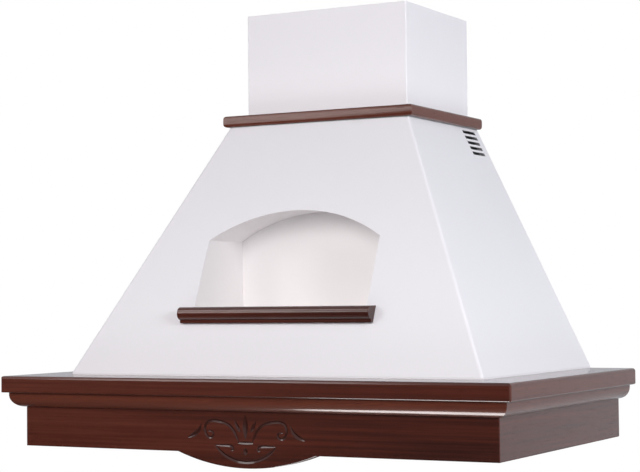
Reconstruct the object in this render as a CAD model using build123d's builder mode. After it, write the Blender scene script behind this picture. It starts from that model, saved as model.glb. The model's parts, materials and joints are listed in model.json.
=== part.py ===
from build123d import *
import os
from math import acos, atan2, cos, degrees, radians, sin

# Wall-mounted range hood with a wooden cornice, in millimetres.
# The origin is on the wall at the cornice's top level, X to the right, Y into the wall, Z up.

# Cornice: a plank, a quarter-round under it and an apron, round three sides
hood_width = 900.0
hood_depth = 550.0
plank_thickness = 27.0
plank_lap = 20.0
plank_top_round = 5.0
plank_bottom_round = 3.0
plank_corner_round = 4.0
ovolo_radius = 20.0
ovolo_step = 4.0
apron_inset = 30.0
apron_thickness = 20.0
apron_height = 88.0
apron_edge_round = 1.5
apron_corner_round = 2.0
bulge_width = 247.0
bulge_drop = 23.0

# Canopy: a four-sided sheet-metal hip, open below and closed at the wall by the back panel
canopy_base_width = 742.0
canopy_base_depth = 462.0
canopy_top_width = 339.0
canopy_top_depth = 281.0
canopy_height = 414.5
canopy_lip = 3.0
sheet = 1.0
hip_radius = 5.0
flange_width = 15.0
panel_sheet = 1.2
top_plate_thickness = 1.5

# Gaps between pieces: fitted, loose enough to lift out, and running on a pin
fit_gap = 0.3
slide_gap = 0.5
pin_gap = 0.05

# Arched niche in the canopy's front, and the wooden rail along its sill
niche_width = 316.0
niche_floor = 108.0
niche_spring = 220.0
niche_rise = 46.0
niche_back = 260.0
shelf_length = 348.0
shelf_top = 110.0
shelf_nose_height = 21.0
shelf_step_height = 5.0
shelf_reach = 23.0
shelf_step_back = 9.0

# Vent slots high on each side, near the wall
vent_length = 52.5
vent_height = 6.2
vent_pitch = 10.5
vent_count = 5
vent_from_wall = 45.5
vent_top_drop = 8.3

# Wooden crown rail and the telescopic chimney cover above it
crown_width = 357.0
crown_depth = 287.0
crown_thickness = 19.0
crown_nose_bow = 0.7
crown_nose_round = 5.0
chimney_width = 303.0
chimney_depth = 248.0
chimney_height = 194.0
chimney_bend = 2.0
chimney_foot = 12.0
sleeve_height = 184.0
sleeve_lift = 4.0
bracket_height = 25.0
bracket_thickness = 1.5
bracket_ear = 30.0
bracket_drop = 15.0
bracket_hole_radius = 3.0
bracket_hole_spacing = 200.0

# Holes in the back panel for the wall screws
wall_hole_radius = 4.0
wall_hole_spacing_x = 390.0
wall_hole_spacing_z = 200.0
wall_hole_level = 140.0

# Underside tray with two filter openings
tray_drop = 58.0
tray_rim = 25.0
filter_opening_width = 300.0
filter_opening_depth = 310.0
filter_spacing = 324.0
filter_from_wall = 60.0
filter_clearance = 1.5
filter_thickness = 9.0
filter_border = 14.0
filter_front_border = 30.0
mesh_thickness = 2.4
mesh_pitch_x = 53.0
mesh_pitch_y = 37.0
mesh_strand = 5.0
tongue_width = 30.0
tongue_reach = 8.0
tongue_thickness = 1.2
tongue_spacing = 180.0

# Spring latch that holds the front edge of each filter
latch_travel = 7.0
latch_width = 30.0
latch_thickness = 2.2
latch_overlap = 5.0
latch_tab_depth = 4.0
latch_tab_drop = 6.0
latch_set_back = 8.0
latch_tail = 2.0

# Lamps and push buttons in the tray's front band
fitting_set_back = 65.7
lamp_spacing = 520.0
lamp_hole_radius = 30.0
lamp_bezel_radius = 35.0
lamp_bezel_thickness = 3.0
lamp_lip = 4.0
lamp_wall = 1.5
lamp_neck_height = 5.0
lens_thickness = 2.0
lamp_holder_height = 26.0
lamp_flange_width = 6.0
bulb_radius = 9.0
bulb_height = 12.0
button_size = 14.0
button_pitch = 24.0
button_travel = 3.0
button_proud = 3.5
button_collar = 1.7
button_collar_thickness = 1.5
button_stem = 6.0
control_margin = 10.0
control_depth = 40.0
control_thickness = 3.0
switch_block_height = 24.0

# Centrifugal blower on a level axis square to the wall, behind the niche
wheel_radius = 85.0
blade_chord = 12.0
wheel_width = 90.0
wheel_plate = 2.0
blade_count = 28
blade_thickness = 1.2
blade_bow = 1.5
blade_lead = 8.0
hub_radius = 12.0
hub_length = 20.0
shaft_radius = 4.0
scroll_start_radius = 95.0
scroll_growth = 11.0
scroll_wall = 2.0
scroll_depth = 116.0
scroll_level = 200.0
inlet_radius = 70.0
inlet_lip = 6.0
inlet_taper = 45.0
neck_square_level = 330.0
neck_flange_width = 190.0
neck_flange_thickness = 2.0
motor_radius = 45.0
motor_length = 48.0
motor_pilot_radius = 38.0
motor_edge = 6.0

# Outlet collar with two non-return flaps
duct_from_wall = 124.0
collar_radius = 75.0
collar_wall = 2.0
collar_height = 50.0
collar_flange_radius = 92.0
collar_flange_thickness = 2.0
flap_level = 16.0
flap_thickness = 1.4
flap_clearance = 0.8
flap_root = 4.4
flap_ledge = 3.0
flap_ledge_thickness = 1.5
knuckle_radius = 3.6
knuckle_length = 25.0
knuckle_gap = 5.0
knuckle_places = (-1.5, 0.5)
spindle_radius = 2.0

# Electrical pieces
electrics_width = 100.0
electrics_height = 70.0
electrics_depth = 42.0
electrics_from_centre = 200.0
electrics_level = 135.0
electrics_round = 4.0
capacitor_radius = 17.0
capacitor_length = 55.0
capacitor_from_centre = 235.0
capacitor_level = 140.0
gland_from_centre = 122.0
gland_from_wall = 30.0
gland_radius = 9.0
gland_bore = 4.0
gland_height = 12.0
gland_nut = 6.0
gland_nut_radius = 12.0

# Hexagon-head screws: through the canopy's foot, the tray's rim and the collar's flange
screw_radius = 1.75
screw_gap = 0.1
screw_head_radius = 3.6
screw_head_height = 2.2
canopy_screw_length = 18.0
canopy_screws_per_side = 1
canopy_screws_front = 3
tray_screw_length = 14.0
tray_screws_per_side = 1
tray_screws_front = 2
collar_screw_length = 8.0
collar_screw_circle = 84.0
collar_screw_count = 3
collar_screw_turn = 45.0

pieces = {}

# Levels and slopes that follow from the sizes above
canopy_slope_height = canopy_height - canopy_lip
front_slope = atan2(canopy_base_depth - canopy_top_depth, canopy_slope_height)
side_slope = atan2((canopy_base_width - canopy_top_width) / 2, canopy_slope_height)
skin_x = sheet / cos(side_slope)
skin_y = sheet / cos(front_slope)
plate_top = canopy_height + top_plate_thickness
plank_half_opening = canopy_base_width / 2 - plank_lap
plank_front_opening = canopy_base_depth - plank_lap
apron_half_inside = hood_width / 2 - apron_inset - apron_thickness
apron_front_inside = hood_depth - apron_inset - apron_thickness
tray_level = -plank_thickness - tray_drop
tray_underside = tray_level - sheet
tray_half_width = apron_half_inside - fit_gap
tray_front = apron_front_inside - fit_gap
fitting_from_wall = tray_front - fitting_set_back


def canopy_width_at(level):
    """Outer width of the canopy at a level on its slope."""
    share = (level - canopy_lip) / canopy_slope_height
    return canopy_base_width + (canopy_top_width - canopy_base_width) * share


def canopy_depth_at(level):
    """Distance of the canopy's front face from the wall at a level on its slope."""
    share = (level - canopy_lip) / canopy_slope_height
    return canopy_base_depth + (canopy_top_depth - canopy_base_depth) * share


def front_run(depth):
    """Section plane for a moulding across the front: X outwards, Y up."""
    return Plane(origin=(0, -depth, 0), x_dir=(0, -1, 0), z_dir=(-1, 0, 0))


def right_run(width):
    """Section plane for a moulding along the right side: X outwards, Y up."""
    return Plane(origin=(width / 2, 0, 0), x_dir=(1, 0, 0), z_dir=(0, -1, 0))


def mitre(width, depth, side):
    """Upright plane at 45 degrees through a front corner."""
    return Plane(origin=(side * width / 2, -depth, 0), z_dir=(side, 1, 0))


def mitred_front(section, width, depth):
    """A moulding across the front, mitred at both ends."""
    with BuildPart() as run:
        extrude(section, amount=width / 2, both=True)
        split(bisect_by=mitre(width, depth, 1), keep=Keep.BOTTOM)
        split(bisect_by=mitre(width, depth, -1), keep=Keep.BOTTOM)
    return run


def mitred_right(section, width, depth):
    """A moulding from the wall to the right front corner, mitred there."""
    with BuildPart() as run:
        extrude(section, amount=depth)
        split(bisect_by=mitre(width, depth, 1), keep=Keep.TOP)
    return run


def plan_at(level, width, depth, radius):
    """A plan at one level: square at the wall, rounded at the front corners."""
    with BuildSketch(Plane.XY.offset(level)) as plan:
        with Locations((0, -depth / 2)):
            Rectangle(width, depth)
        fillet(plan.vertices().group_by(Axis.Y)[0], radius)
    return plan.sketch


def mirrored(piece):
    """The left-hand piece of a pair."""
    with BuildPart() as other:
        mirror(piece.part, about=Plane.YZ)
    return other


def spread(count, length):
    """Places of evenly spaced copies along a length, clear of its ends."""
    pitch = length / count
    return [(i + 0.5) * pitch - length / 2 for i in range(count)]


def screws(planes, length):
    """A set of screws, heads on the planes and shanks going in behind them."""
    with BuildPart() as group:
        for plane in planes:
            with BuildSketch(plane):
                RegularPolygon(screw_head_radius, 6)
            extrude(amount=screw_head_height)
            with BuildSketch(plane):
                Circle(screw_radius)
            extrude(amount=-length)
    return group


def screw_holes(planes, length):
    """Clearance holes for a set of screws, to cut from the pieces that they join."""
    with BuildPart() as holes:
        for plane in planes:
            with BuildSketch(plane):
                Circle(screw_radius + screw_gap)
            extrude(amount=-length - screw_gap)
    return holes.part


# Places of the screws, shared by the screws and the holes that take them
canopy_screw_x = (canopy_base_width - flange_width) / 2
canopy_screw_y = -canopy_base_depth + flange_width / 2
canopy_screw_planes = [
    Plane(origin=(side * canopy_screw_x, y - canopy_base_depth / 2, sheet))
    for side in (-1, 1)
    for y in spread(canopy_screws_per_side, canopy_base_depth - 2 * flange_width)
] + [
    Plane(origin=(x, canopy_screw_y, sheet))
    for x in spread(canopy_screws_front, canopy_base_width - 2 * flange_width)
]
canopy_screw_holes = screw_holes(canopy_screw_planes, canopy_screw_length)

tray_screw_x = tray_half_width - sheet
tray_screw_level = tray_level + tray_rim / 2
tray_screw_planes = [
    Plane(origin=(side * tray_screw_x, y - tray_front / 2, tray_screw_level), z_dir=(-side, 0, 0))
    for side in (-1, 1)
    for y in spread(tray_screws_per_side, tray_front)
] + [
    Plane(origin=(x, sheet - tray_front, tray_screw_level), z_dir=(0, 1, 0))
    for x in spread(tray_screws_front, 2 * tray_half_width)
]
tray_screw_holes = screw_holes(tray_screw_planes, tray_screw_length)

collar_screw_angles = [
    radians(collar_screw_turn + 360 * i / collar_screw_count) for i in range(collar_screw_count)
]
collar_screw_planes = [
    Plane(
        origin=(
            collar_screw_circle * cos(angle),
            collar_screw_circle * sin(angle) - duct_from_wall,
            plate_top + collar_flange_thickness,
        )
    )
    for angle in collar_screw_angles
]
collar_screw_holes = screw_holes(collar_screw_planes, collar_screw_length)

pieces["canopy_screws"] = screws(canopy_screw_planes, canopy_screw_length)
pieces["tray_screws"] = screws(tray_screw_planes, tray_screw_length)
pieces["collar_screws"] = screws(collar_screw_planes, collar_screw_length)


# Cornice planks
def plank_section(plane, width):
    with BuildSketch(plane) as section:
        with Locations((-width / 2, -plank_thickness / 2)):
            Rectangle(width, plank_thickness)
        fillet(section.vertices().group_by(Axis.X)[-1].sort_by(Axis.Y)[-1], plank_top_round)
        fillet(section.vertices().group_by(Axis.X)[-1].sort_by(Axis.Y)[0], plank_bottom_round)
    return section.sketch


plank_front_width = hood_depth - plank_front_opening
plank_side_width = hood_width / 2 - plank_half_opening
front_plank = plank_section(front_run(hood_depth), plank_front_width)
side_plank = plank_section(right_run(hood_width), plank_side_width)
plank_plan = plan_at(-plank_thickness, hood_width, hood_depth, plank_corner_round)

with BuildPart() as cornice_front:
    add(mitred_front(front_plank, hood_width, hood_depth).part)
    extrude(plank_plan, amount=plank_thickness, mode=Mode.INTERSECT)
    add(canopy_screw_holes, mode=Mode.SUBTRACT)

with BuildPart() as cornice_right:
    add(mitred_right(side_plank, hood_width, hood_depth).part)
    extrude(plank_plan, amount=plank_thickness, mode=Mode.INTERSECT)
    add(canopy_screw_holes, mode=Mode.SUBTRACT)

pieces["cornice_front"] = cornice_front
pieces["cornice_right"] = cornice_right
pieces["cornice_left"] = mirrored(cornice_right)


# Quarter-round mouldings under the planks
def ovolo_section(plane):
    top = -plank_thickness
    spring = top - ovolo_step
    with BuildSketch(plane) as section:
        with BuildLine():
            Polyline(
                (-apron_inset, spring - ovolo_radius),
                (-apron_inset, top),
                (ovolo_radius - apron_inset, top),
                (ovolo_radius - apron_inset, spring),
            )
            CenterArc((-apron_inset, spring), ovolo_radius, 0, -90)
        make_face()
    return section.sketch


pieces["ovolo_front"] = mitred_front(ovolo_section(front_run(hood_depth)), hood_width, hood_depth)
pieces["ovolo_right"] = mitred_right(ovolo_section(right_run(hood_width)), hood_width, hood_depth)
pieces["ovolo_left"] = mirrored(pieces["ovolo_right"])

# Aprons: the front one swells down in the middle in a shallow arc
apron_top = -plank_thickness
apron_bottom = apron_top - apron_height
apron_face = hood_depth - apron_inset
apron_half_width = hood_width / 2 - apron_inset
apron_plan = plan_at(apron_bottom - bulge_drop, 2 * apron_half_width, apron_face, apron_corner_round)

with BuildPart() as apron_front:
    with BuildSketch(Plane.XZ.offset(apron_face - apron_thickness)):
        with BuildLine():
            Polyline(
                (-bulge_width / 2, apron_bottom),
                (-apron_half_width, apron_bottom),
                (-apron_half_width, apron_top),
                (apron_half_width, apron_top),
                (apron_half_width, apron_bottom),
                (bulge_width / 2, apron_bottom),
            )
            ThreePointArc(
                (bulge_width / 2, apron_bottom),
                (0, apron_bottom - bulge_drop),
                (-bulge_width / 2, apron_bottom),
            )
        make_face()
    extrude(amount=apron_thickness)
    split(bisect_by=mitre(2 * apron_half_width, apron_face, 1), keep=Keep.BOTTOM)
    split(bisect_by=mitre(2 * apron_half_width, apron_face, -1), keep=Keep.BOTTOM)
    extrude(apron_plan, amount=apron_height + bulge_drop, mode=Mode.INTERSECT)
    add(tray_screw_holes, mode=Mode.SUBTRACT)

with BuildPart() as apron_right:
    with BuildSketch(right_run(2 * apron_half_width)) as apron_section:
        with Locations((-apron_thickness / 2, (apron_top + apron_bottom) / 2)):
            Rectangle(apron_thickness, apron_height)
        fillet(apron_section.vertices().group_by(Axis.X)[-1].sort_by(Axis.Y)[0], apron_edge_round)
    extrude(amount=apron_face)
    split(bisect_by=mitre(2 * apron_half_width, apron_face, 1), keep=Keep.TOP)
    extrude(apron_plan, amount=apron_height + bulge_drop, mode=Mode.INTERSECT)
    add(tray_screw_holes, mode=Mode.SUBTRACT)

pieces["apron_front"] = apron_front
pieces["apron_right"] = apron_right
pieces["apron_left"] = mirrored(apron_right)


# Canopy shell, folded from sheet, with flanges turned in at its foot, head and wall edges
def hip_block(head, skin_side, skin_front, rear, radius, lip):
    """The canopy's bulk, inset by its skins: flat slopes, rounded hips and a short upright lip."""
    foot_half = canopy_base_width / 2 - skin_side
    head_half = canopy_width_at(head) / 2 - skin_side
    with BuildPart() as block:
        with BuildSketch(Plane.XZ):
            with BuildLine():
                Polyline(
                    (-foot_half, canopy_lip),
                    (foot_half, canopy_lip),
                    (head_half, head),
                    (-head_half, head),
                    close=True,
                )
            make_face()
        extrude(amount=canopy_base_depth)
        with BuildSketch(Plane.YZ):
            with BuildLine():
                Polyline(
                    (-rear, canopy_lip),
                    (-rear, head),
                    (skin_front - canopy_depth_at(head), head),
                    (skin_front - canopy_base_depth, canopy_lip),
                    close=True,
                )
            make_face()
        extrude(amount=canopy_base_width / 2, both=True, mode=Mode.INTERSECT)
        fillet(block.edges().group_by(Axis.Z)[1].group_by(Axis.Y)[0], radius)
        extrude(block.faces().sort_by(Axis.Z)[0], amount=lip)
    return block.part


def rear_outline(inset):
    """Upright outline between the canopy's side sheets, on the wall plane."""
    foot = canopy_base_width / 2 - skin_x - inset
    head = canopy_top_width / 2 - skin_x - inset
    with BuildSketch(Plane.XZ) as outline:
        with BuildLine():
            Polyline(
                (-foot, 0),
                (-foot, canopy_lip),
                (-head, canopy_height),
                (head, canopy_height),
                (foot, canopy_lip),
                (foot, 0),
                close=True,
            )
        make_face()
    return outline.sketch


def flange_opening(level, width, depth):
    """The opening left inside a turned-in flange."""
    with BuildSketch(Plane.XY.offset(level)) as opening:
        with Locations((0, -(depth - flange_width) / 2)):
            Rectangle(width - 2 * flange_width, depth - flange_width)
    return opening.sketch


with BuildPart() as canopy_shell:
    add(hip_block(canopy_height, 0, 0, 0, hip_radius, canopy_lip))
    add(
        hip_block(
            canopy_height - sheet,
            skin_x,
            skin_y,
            panel_sheet + sheet,
            hip_radius - sheet,
            canopy_lip - sheet,
        ),
        mode=Mode.SUBTRACT,
    )
    extrude(rear_outline(0), amount=panel_sheet, mode=Mode.SUBTRACT)
    extrude(rear_outline(flange_width), amount=panel_sheet + sheet, mode=Mode.SUBTRACT)
    extrude(flange_opening(0, canopy_base_width, canopy_base_depth), amount=sheet, mode=Mode.SUBTRACT)
    extrude(
        flange_opening(canopy_height - sheet, canopy_top_width, canopy_top_depth),
        amount=sheet,
        mode=Mode.SUBTRACT,
    )
    add(canopy_screw_holes, mode=Mode.SUBTRACT)

front_normal = (0, -cos(front_slope), sin(front_slope))
front_inner_face = Plane(origin=(0, skin_y - canopy_base_depth, canopy_lip), z_dir=front_normal)


def niche_outline(distance, grow):
    """The niche's arched outline on an upright plane at a distance from the wall."""
    half = niche_width / 2 + grow
    with BuildSketch(Plane.XZ.offset(distance)) as outline:
        with BuildLine():
            Polyline(
                (-half, niche_spring),
                (-half, niche_floor - grow),
                (half, niche_floor - grow),
                (half, niche_spring),
            )
            ThreePointArc(
                (half, niche_spring),
                (0, niche_spring + niche_rise + grow),
                (-half, niche_spring),
            )
        make_face()
    return outline.sketch


def hip_seam(side):
    """Plane along a hip, just behind its round, that parts the front sheet from a side sheet."""
    run = Vector(
        side * (canopy_top_width - canopy_base_width) / 2,
        canopy_base_depth - canopy_top_depth,
        canopy_slope_height,
    )
    across = Vector(-side, 1, 0)
    corner = (side * canopy_base_width / 2, hip_radius + sheet - canopy_base_depth, canopy_lip)
    return Plane(origin=corner, z_dir=across.cross(run) * side)


niche_reach = canopy_base_depth - niche_back

with BuildPart() as canopy_front:
    add(canopy_shell.part)
    split(bisect_by=hip_seam(1), keep=Keep.BOTTOM)
    split(bisect_by=hip_seam(-1), keep=Keep.BOTTOM)
    extrude(niche_outline(niche_back, 0), amount=niche_reach, mode=Mode.SUBTRACT)

side_up = (-sin(side_slope), 0, cos(side_slope))
vent_middle_drop = vent_top_drop + vent_pitch * (vent_count - 1) / 2
vent_plane = Plane(
    origin=(
        canopy_top_width / 2 - vent_middle_drop * side_up[0],
        -vent_from_wall,
        canopy_height - vent_middle_drop * side_up[2],
    ),
    x_dir=(0, 1, 0),
    z_dir=(cos(side_slope), 0, sin(side_slope)),
)

with BuildPart() as canopy_right:
    add(canopy_shell.part)
    split(bisect_by=hip_seam(1), keep=Keep.TOP)
    with BuildSketch(vent_plane):
        with GridLocations(vent_length, vent_pitch, 1, vent_count):
            Rectangle(vent_length, vent_height)
    extrude(amount=sheet, both=True, mode=Mode.SUBTRACT)

pieces["canopy_front"] = canopy_front
pieces["canopy_right"] = canopy_right
pieces["canopy_left"] = mirrored(canopy_right)

# Niche liner: sill, sides, arched soffit and back in one folded piece
with BuildPart() as niche_liner:
    extrude(niche_outline(niche_back - sheet, sheet), amount=niche_reach + sheet)
    extrude(niche_outline(niche_back, 0), amount=niche_reach, mode=Mode.SUBTRACT)
    split(bisect_by=front_inner_face, keep=Keep.BOTTOM)
pieces["niche_liner"] = niche_liner

# Shelf rail: a rounded nose over a small step, its back cut to the canopy's slope
shelf_nose_foot = shelf_top - shelf_nose_height
shelf_foot = shelf_nose_foot - shelf_step_height
shelf_nose = canopy_depth_at(shelf_top - shelf_nose_height / 2) + shelf_reach
nose_radius = shelf_nose_height / 2

with BuildPart() as shelf_rail:
    with BuildSketch(Plane(origin=(0, 0, 0), x_dir=(0, -1, 0), z_dir=(-1, 0, 0))):
        with BuildLine():
            Polyline(
                (shelf_nose - nose_radius, shelf_top),
                (canopy_depth_at(shelf_top), shelf_top),
                (canopy_depth_at(shelf_foot), shelf_foot),
                (shelf_nose - shelf_step_back, shelf_foot),
                (shelf_nose - shelf_step_back, shelf_nose_foot),
                (shelf_nose - nose_radius, shelf_nose_foot),
            )
            ThreePointArc(
                (shelf_nose - nose_radius, shelf_nose_foot),
                (shelf_nose, shelf_nose_foot + nose_radius),
                (shelf_nose - nose_radius, shelf_top),
            )
        make_face()
    extrude(amount=shelf_length / 2, both=True)
pieces["shelf_rail"] = shelf_rail

# Back panel, let in between the canopy's side sheets and the wooden sides
with BuildPart() as back_panel:
    extrude(rear_outline(fit_gap), amount=panel_sheet)
    with BuildSketch(Plane.XZ):
        with Locations((0, -plank_thickness / 2)):
            Rectangle(2 * (plank_half_opening - fit_gap), plank_thickness)
    extrude(amount=panel_sheet)
    with BuildSketch(Plane.XZ):
        with Locations((0, (tray_underside - plank_thickness - fit_gap) / 2)):
            Rectangle(2 * tray_half_width, -plank_thickness - fit_gap - tray_underside)
        with Locations((0, -plank_thickness)):
            Rectangle(2 * (plank_half_opening - fit_gap), 2 * fit_gap)
    extrude(amount=panel_sheet)
    with BuildSketch(Plane.XZ):
        with Locations((0, wall_hole_level)):
            with GridLocations(wall_hole_spacing_x, wall_hole_spacing_z, 2, 2):
                Circle(wall_hole_radius)
    extrude(amount=panel_sheet, mode=Mode.SUBTRACT)
pieces["back_panel"] = back_panel

duct_radius = collar_radius - collar_wall

# Top plate over the canopy's head, with the outlet hole and the lead's hole
with BuildPart() as top_plate:
    extrude(
        plan_at(canopy_height, canopy_top_width - 2 * sheet, canopy_top_depth - sheet, hip_radius),
        amount=top_plate_thickness,
    )
    with BuildSketch(Plane.XY.offset(canopy_height)):
        with Locations((0, -duct_from_wall)):
            Circle(duct_radius)
        with Locations((-gland_from_centre, -gland_from_wall)):
            Circle(gland_radius + fit_gap)
    extrude(amount=top_plate_thickness, mode=Mode.SUBTRACT)
    add(collar_screw_holes, mode=Mode.SUBTRACT)
pieces["top_plate"] = top_plate


# Crown rails with a bowed nose and rounded edges, mitred round the chimney's foot
def crown_section(plane, width):
    middle = plate_top + crown_thickness / 2
    head = plate_top + crown_thickness
    edge = -crown_nose_bow
    with BuildSketch(plane) as section:
        with BuildLine():
            Polyline((edge, head), (-width, head), (-width, plate_top), (edge, plate_top))
            ThreePointArc((edge, plate_top), (0, middle), (edge, head))
        make_face()
        fillet(section.vertices().group_by(Axis.X)[-1], crown_nose_round)
    return section.sketch


crown_front_width = crown_depth - chimney_depth - fit_gap
crown_side_width = (crown_width - chimney_width) / 2 - fit_gap
pieces["crown_front"] = mitred_front(
    crown_section(front_run(crown_depth), crown_front_width), crown_width, crown_depth
)
pieces["crown_right"] = mitred_right(
    crown_section(right_run(crown_width), crown_side_width), crown_width, crown_depth
)
pieces["crown_left"] = mirrored(pieces["crown_right"])

# Chimney cover: three folded sides, open at the wall, standing on a turned-in foot
with BuildPart() as chimney_lower:
    extrude(plan_at(plate_top, chimney_width, chimney_depth, chimney_bend), amount=chimney_height)
    extrude(
        plan_at(plate_top + sheet, chimney_width - 2 * sheet, chimney_depth - sheet, chimney_bend - sheet),
        amount=chimney_height - sheet,
        mode=Mode.SUBTRACT,
    )
    extrude(
        plan_at(plate_top, chimney_width - 2 * chimney_foot, chimney_depth - chimney_foot, chimney_bend),
        amount=sheet,
        mode=Mode.SUBTRACT,
    )
pieces["chimney_lower"] = chimney_lower

# Sliding sleeve inside the cover, and the wall bracket that it is screwed to
sleeve_width = chimney_width - 2 * (sheet + slide_gap)
sleeve_depth = chimney_depth - sheet - slide_gap
sleeve_foot = plate_top + sheet + sleeve_lift
sleeve_inside = sleeve_width - 2 * sheet

with BuildPart() as chimney_upper:
    extrude(plan_at(sleeve_foot, sleeve_width, sleeve_depth, chimney_bend), amount=sleeve_height)
    extrude(
        plan_at(sleeve_foot, sleeve_inside, sleeve_depth - sheet, chimney_bend - sheet),
        amount=sleeve_height,
        mode=Mode.SUBTRACT,
    )
pieces["chimney_upper"] = chimney_upper

bracket_foot = sleeve_foot + sleeve_height - bracket_drop - bracket_height
with BuildPart() as chimney_bracket:
    with BuildSketch(Plane.XY.offset(bracket_foot)):
        with Locations((0, -bracket_ear / 2)):
            Rectangle(sleeve_inside, bracket_ear)
        with Locations((0, -(bracket_ear + bracket_thickness) / 2)):
            Rectangle(
                sleeve_inside - 2 * bracket_thickness, bracket_ear - bracket_thickness, mode=Mode.SUBTRACT
            )
    extrude(amount=bracket_height)
    with BuildSketch(Plane.XZ):
        with Locations((0, bracket_foot + bracket_height / 2)):
            with GridLocations(bracket_hole_spacing, bracket_height, 2, 1):
                Circle(bracket_hole_radius)
    extrude(amount=bracket_thickness, mode=Mode.SUBTRACT)
pieces["chimney_bracket"] = chimney_bracket

# Underside tray: a shallow pan with filter openings, lamp holes and button holes
filter_width = filter_opening_width - 2 * filter_clearance
filter_depth = filter_opening_depth - 2 * filter_clearance
filter_middle = -filter_from_wall - filter_opening_depth / 2
filter_front = filter_middle - filter_depth / 2
filter_rear = filter_middle + filter_depth / 2
button_names = ("off", "speed_1", "speed_2", "speed_3", "light")
button_collar_size = button_size + 2 * button_collar
button_hole = button_collar_size + 2 * fit_gap
tray_depth = tray_front - panel_sheet
tray_middle = -(tray_front + panel_sheet) / 2

with BuildPart() as base_tray:
    with BuildSketch(Plane.XY.offset(tray_underside)):
        with Locations((0, tray_middle)):
            Rectangle(2 * tray_half_width, tray_depth)
    extrude(amount=sheet + tray_rim)
    with BuildSketch(Plane.XY.offset(tray_level)):
        with Locations((0, tray_middle)):
            Rectangle(2 * (tray_half_width - sheet), tray_depth - 2 * sheet)
    extrude(amount=tray_rim, mode=Mode.SUBTRACT)
    with BuildSketch(Plane.XY.offset(tray_underside)):
        with Locations((0, filter_middle)):
            with GridLocations(filter_spacing, filter_opening_depth, 2, 1):
                Rectangle(filter_opening_width, filter_opening_depth)
        with Locations((0, -fitting_from_wall)):
            with GridLocations(lamp_spacing, control_depth, 2, 1):
                Circle(lamp_hole_radius)
            with GridLocations(button_pitch, control_depth, len(button_names), 1):
                Rectangle(button_hole, button_hole)
    extrude(amount=sheet, mode=Mode.SUBTRACT)
    add(tray_screw_holes, mode=Mode.SUBTRACT)
pieces["base_tray"] = base_tray

# Grease filters, each a frame round a lattice of flattened strands, with a spring latch in front
latch_level = tray_level + fit_gap
latch_front = filter_front - filter_clearance - latch_overlap
latch_tab_front = filter_front + latch_set_back
latch_rear = latch_tab_front + latch_tab_depth + latch_tail
mesh_width = filter_width - 2 * filter_border
mesh_depth = filter_depth - filter_border - filter_front_border
mesh_middle = filter_middle + (filter_front_border - filter_border) / 2
mesh_columns = int(mesh_width / mesh_pitch_x)
mesh_rows = int(mesh_depth / mesh_pitch_y)
lattice_hole_width = mesh_pitch_x - mesh_strand
lattice_hole_depth = mesh_pitch_y - mesh_strand

for side, name in ((-1, "left"), (1, "right")):
    filter_x = side * filter_spacing / 2

    with BuildPart() as filter_frame:
        with BuildSketch(Plane.XY.offset(tray_underside)):
            with Locations((filter_x, filter_middle)):
                Rectangle(filter_width, filter_depth)
            with Locations((filter_x, mesh_middle)):
                Rectangle(mesh_width, mesh_depth, mode=Mode.SUBTRACT)
        extrude(amount=filter_thickness)
        tongue_length = filter_clearance + tongue_reach
        with BuildSketch(Plane.XY.offset(latch_level)):
            with Locations((filter_x, filter_rear + tongue_length / 2)):
                with GridLocations(tongue_spacing, tongue_length, 2, 1):
                    Rectangle(tongue_width, tongue_length)
        extrude(amount=tongue_thickness)
        pocket_depth = latch_rear + latch_travel + fit_gap - filter_front
        with BuildSketch(Plane.XY.offset(latch_level - fit_gap)):
            with Locations((filter_x, filter_front + pocket_depth / 2)):
                Rectangle(latch_width + 2 * fit_gap, pocket_depth)
        extrude(amount=latch_thickness + 2 * fit_gap, mode=Mode.SUBTRACT)
        window_depth = latch_tab_depth + latch_travel + 2 * fit_gap
        with BuildSketch(Plane.XY.offset(tray_underside)):
            with Locations((filter_x, latch_tab_front - fit_gap + window_depth / 2)):
                Rectangle(latch_width + 2 * fit_gap, window_depth)
        extrude(amount=latch_level - tray_underside, mode=Mode.SUBTRACT)
    pieces[f"filter_frame_{name}"] = filter_frame

    with BuildPart() as filter_mesh:
        mesh_foot = tray_underside + (filter_thickness - mesh_thickness) / 2
        with BuildSketch(Plane.XY.offset(mesh_foot)):
            with Locations((filter_x, mesh_middle)):
                Rectangle(mesh_width, mesh_depth)
                for columns, rows in ((mesh_columns, mesh_rows), (mesh_columns - 1, mesh_rows - 1)):
                    with GridLocations(mesh_pitch_x, mesh_pitch_y, columns, rows):
                        Polygon(
                            (-lattice_hole_width / 2, 0),
                            (0, -lattice_hole_depth / 2),
                            (lattice_hole_width / 2, 0),
                            (0, lattice_hole_depth / 2),
                            mode=Mode.SUBTRACT,
                        )
        extrude(amount=mesh_thickness)
    pieces[f"filter_mesh_{name}"] = filter_mesh

    with BuildPart() as filter_latch:
        with BuildSketch(Plane.XY.offset(latch_level)):
            with Locations((filter_x, (latch_front + latch_rear) / 2)):
                Rectangle(latch_width, latch_rear - latch_front)
        extrude(amount=latch_thickness)
        with BuildSketch(Plane.XY.offset(tray_underside - latch_tab_drop)):
            with Locations((filter_x, latch_tab_front + latch_tab_depth / 2)):
                Rectangle(latch_width, latch_tab_depth)
        extrude(amount=latch_tab_drop + latch_level - tray_underside)
        chamfer(filter_latch.edges().filter_by(Axis.X).group_by(Axis.Z)[0], latch_tab_depth / 4)
    pieces[f"filter_latch_{name}"] = filter_latch

# Lamps: a bezel under the tray, a lens in it, and a holder with its bulb above
lamp_neck_radius = lamp_hole_radius - fit_gap
lens_radius = lamp_neck_radius - lamp_wall - fit_gap
bezel_foot = tray_underside - lamp_bezel_thickness
holder_inside = lamp_hole_radius + fit_gap

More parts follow.
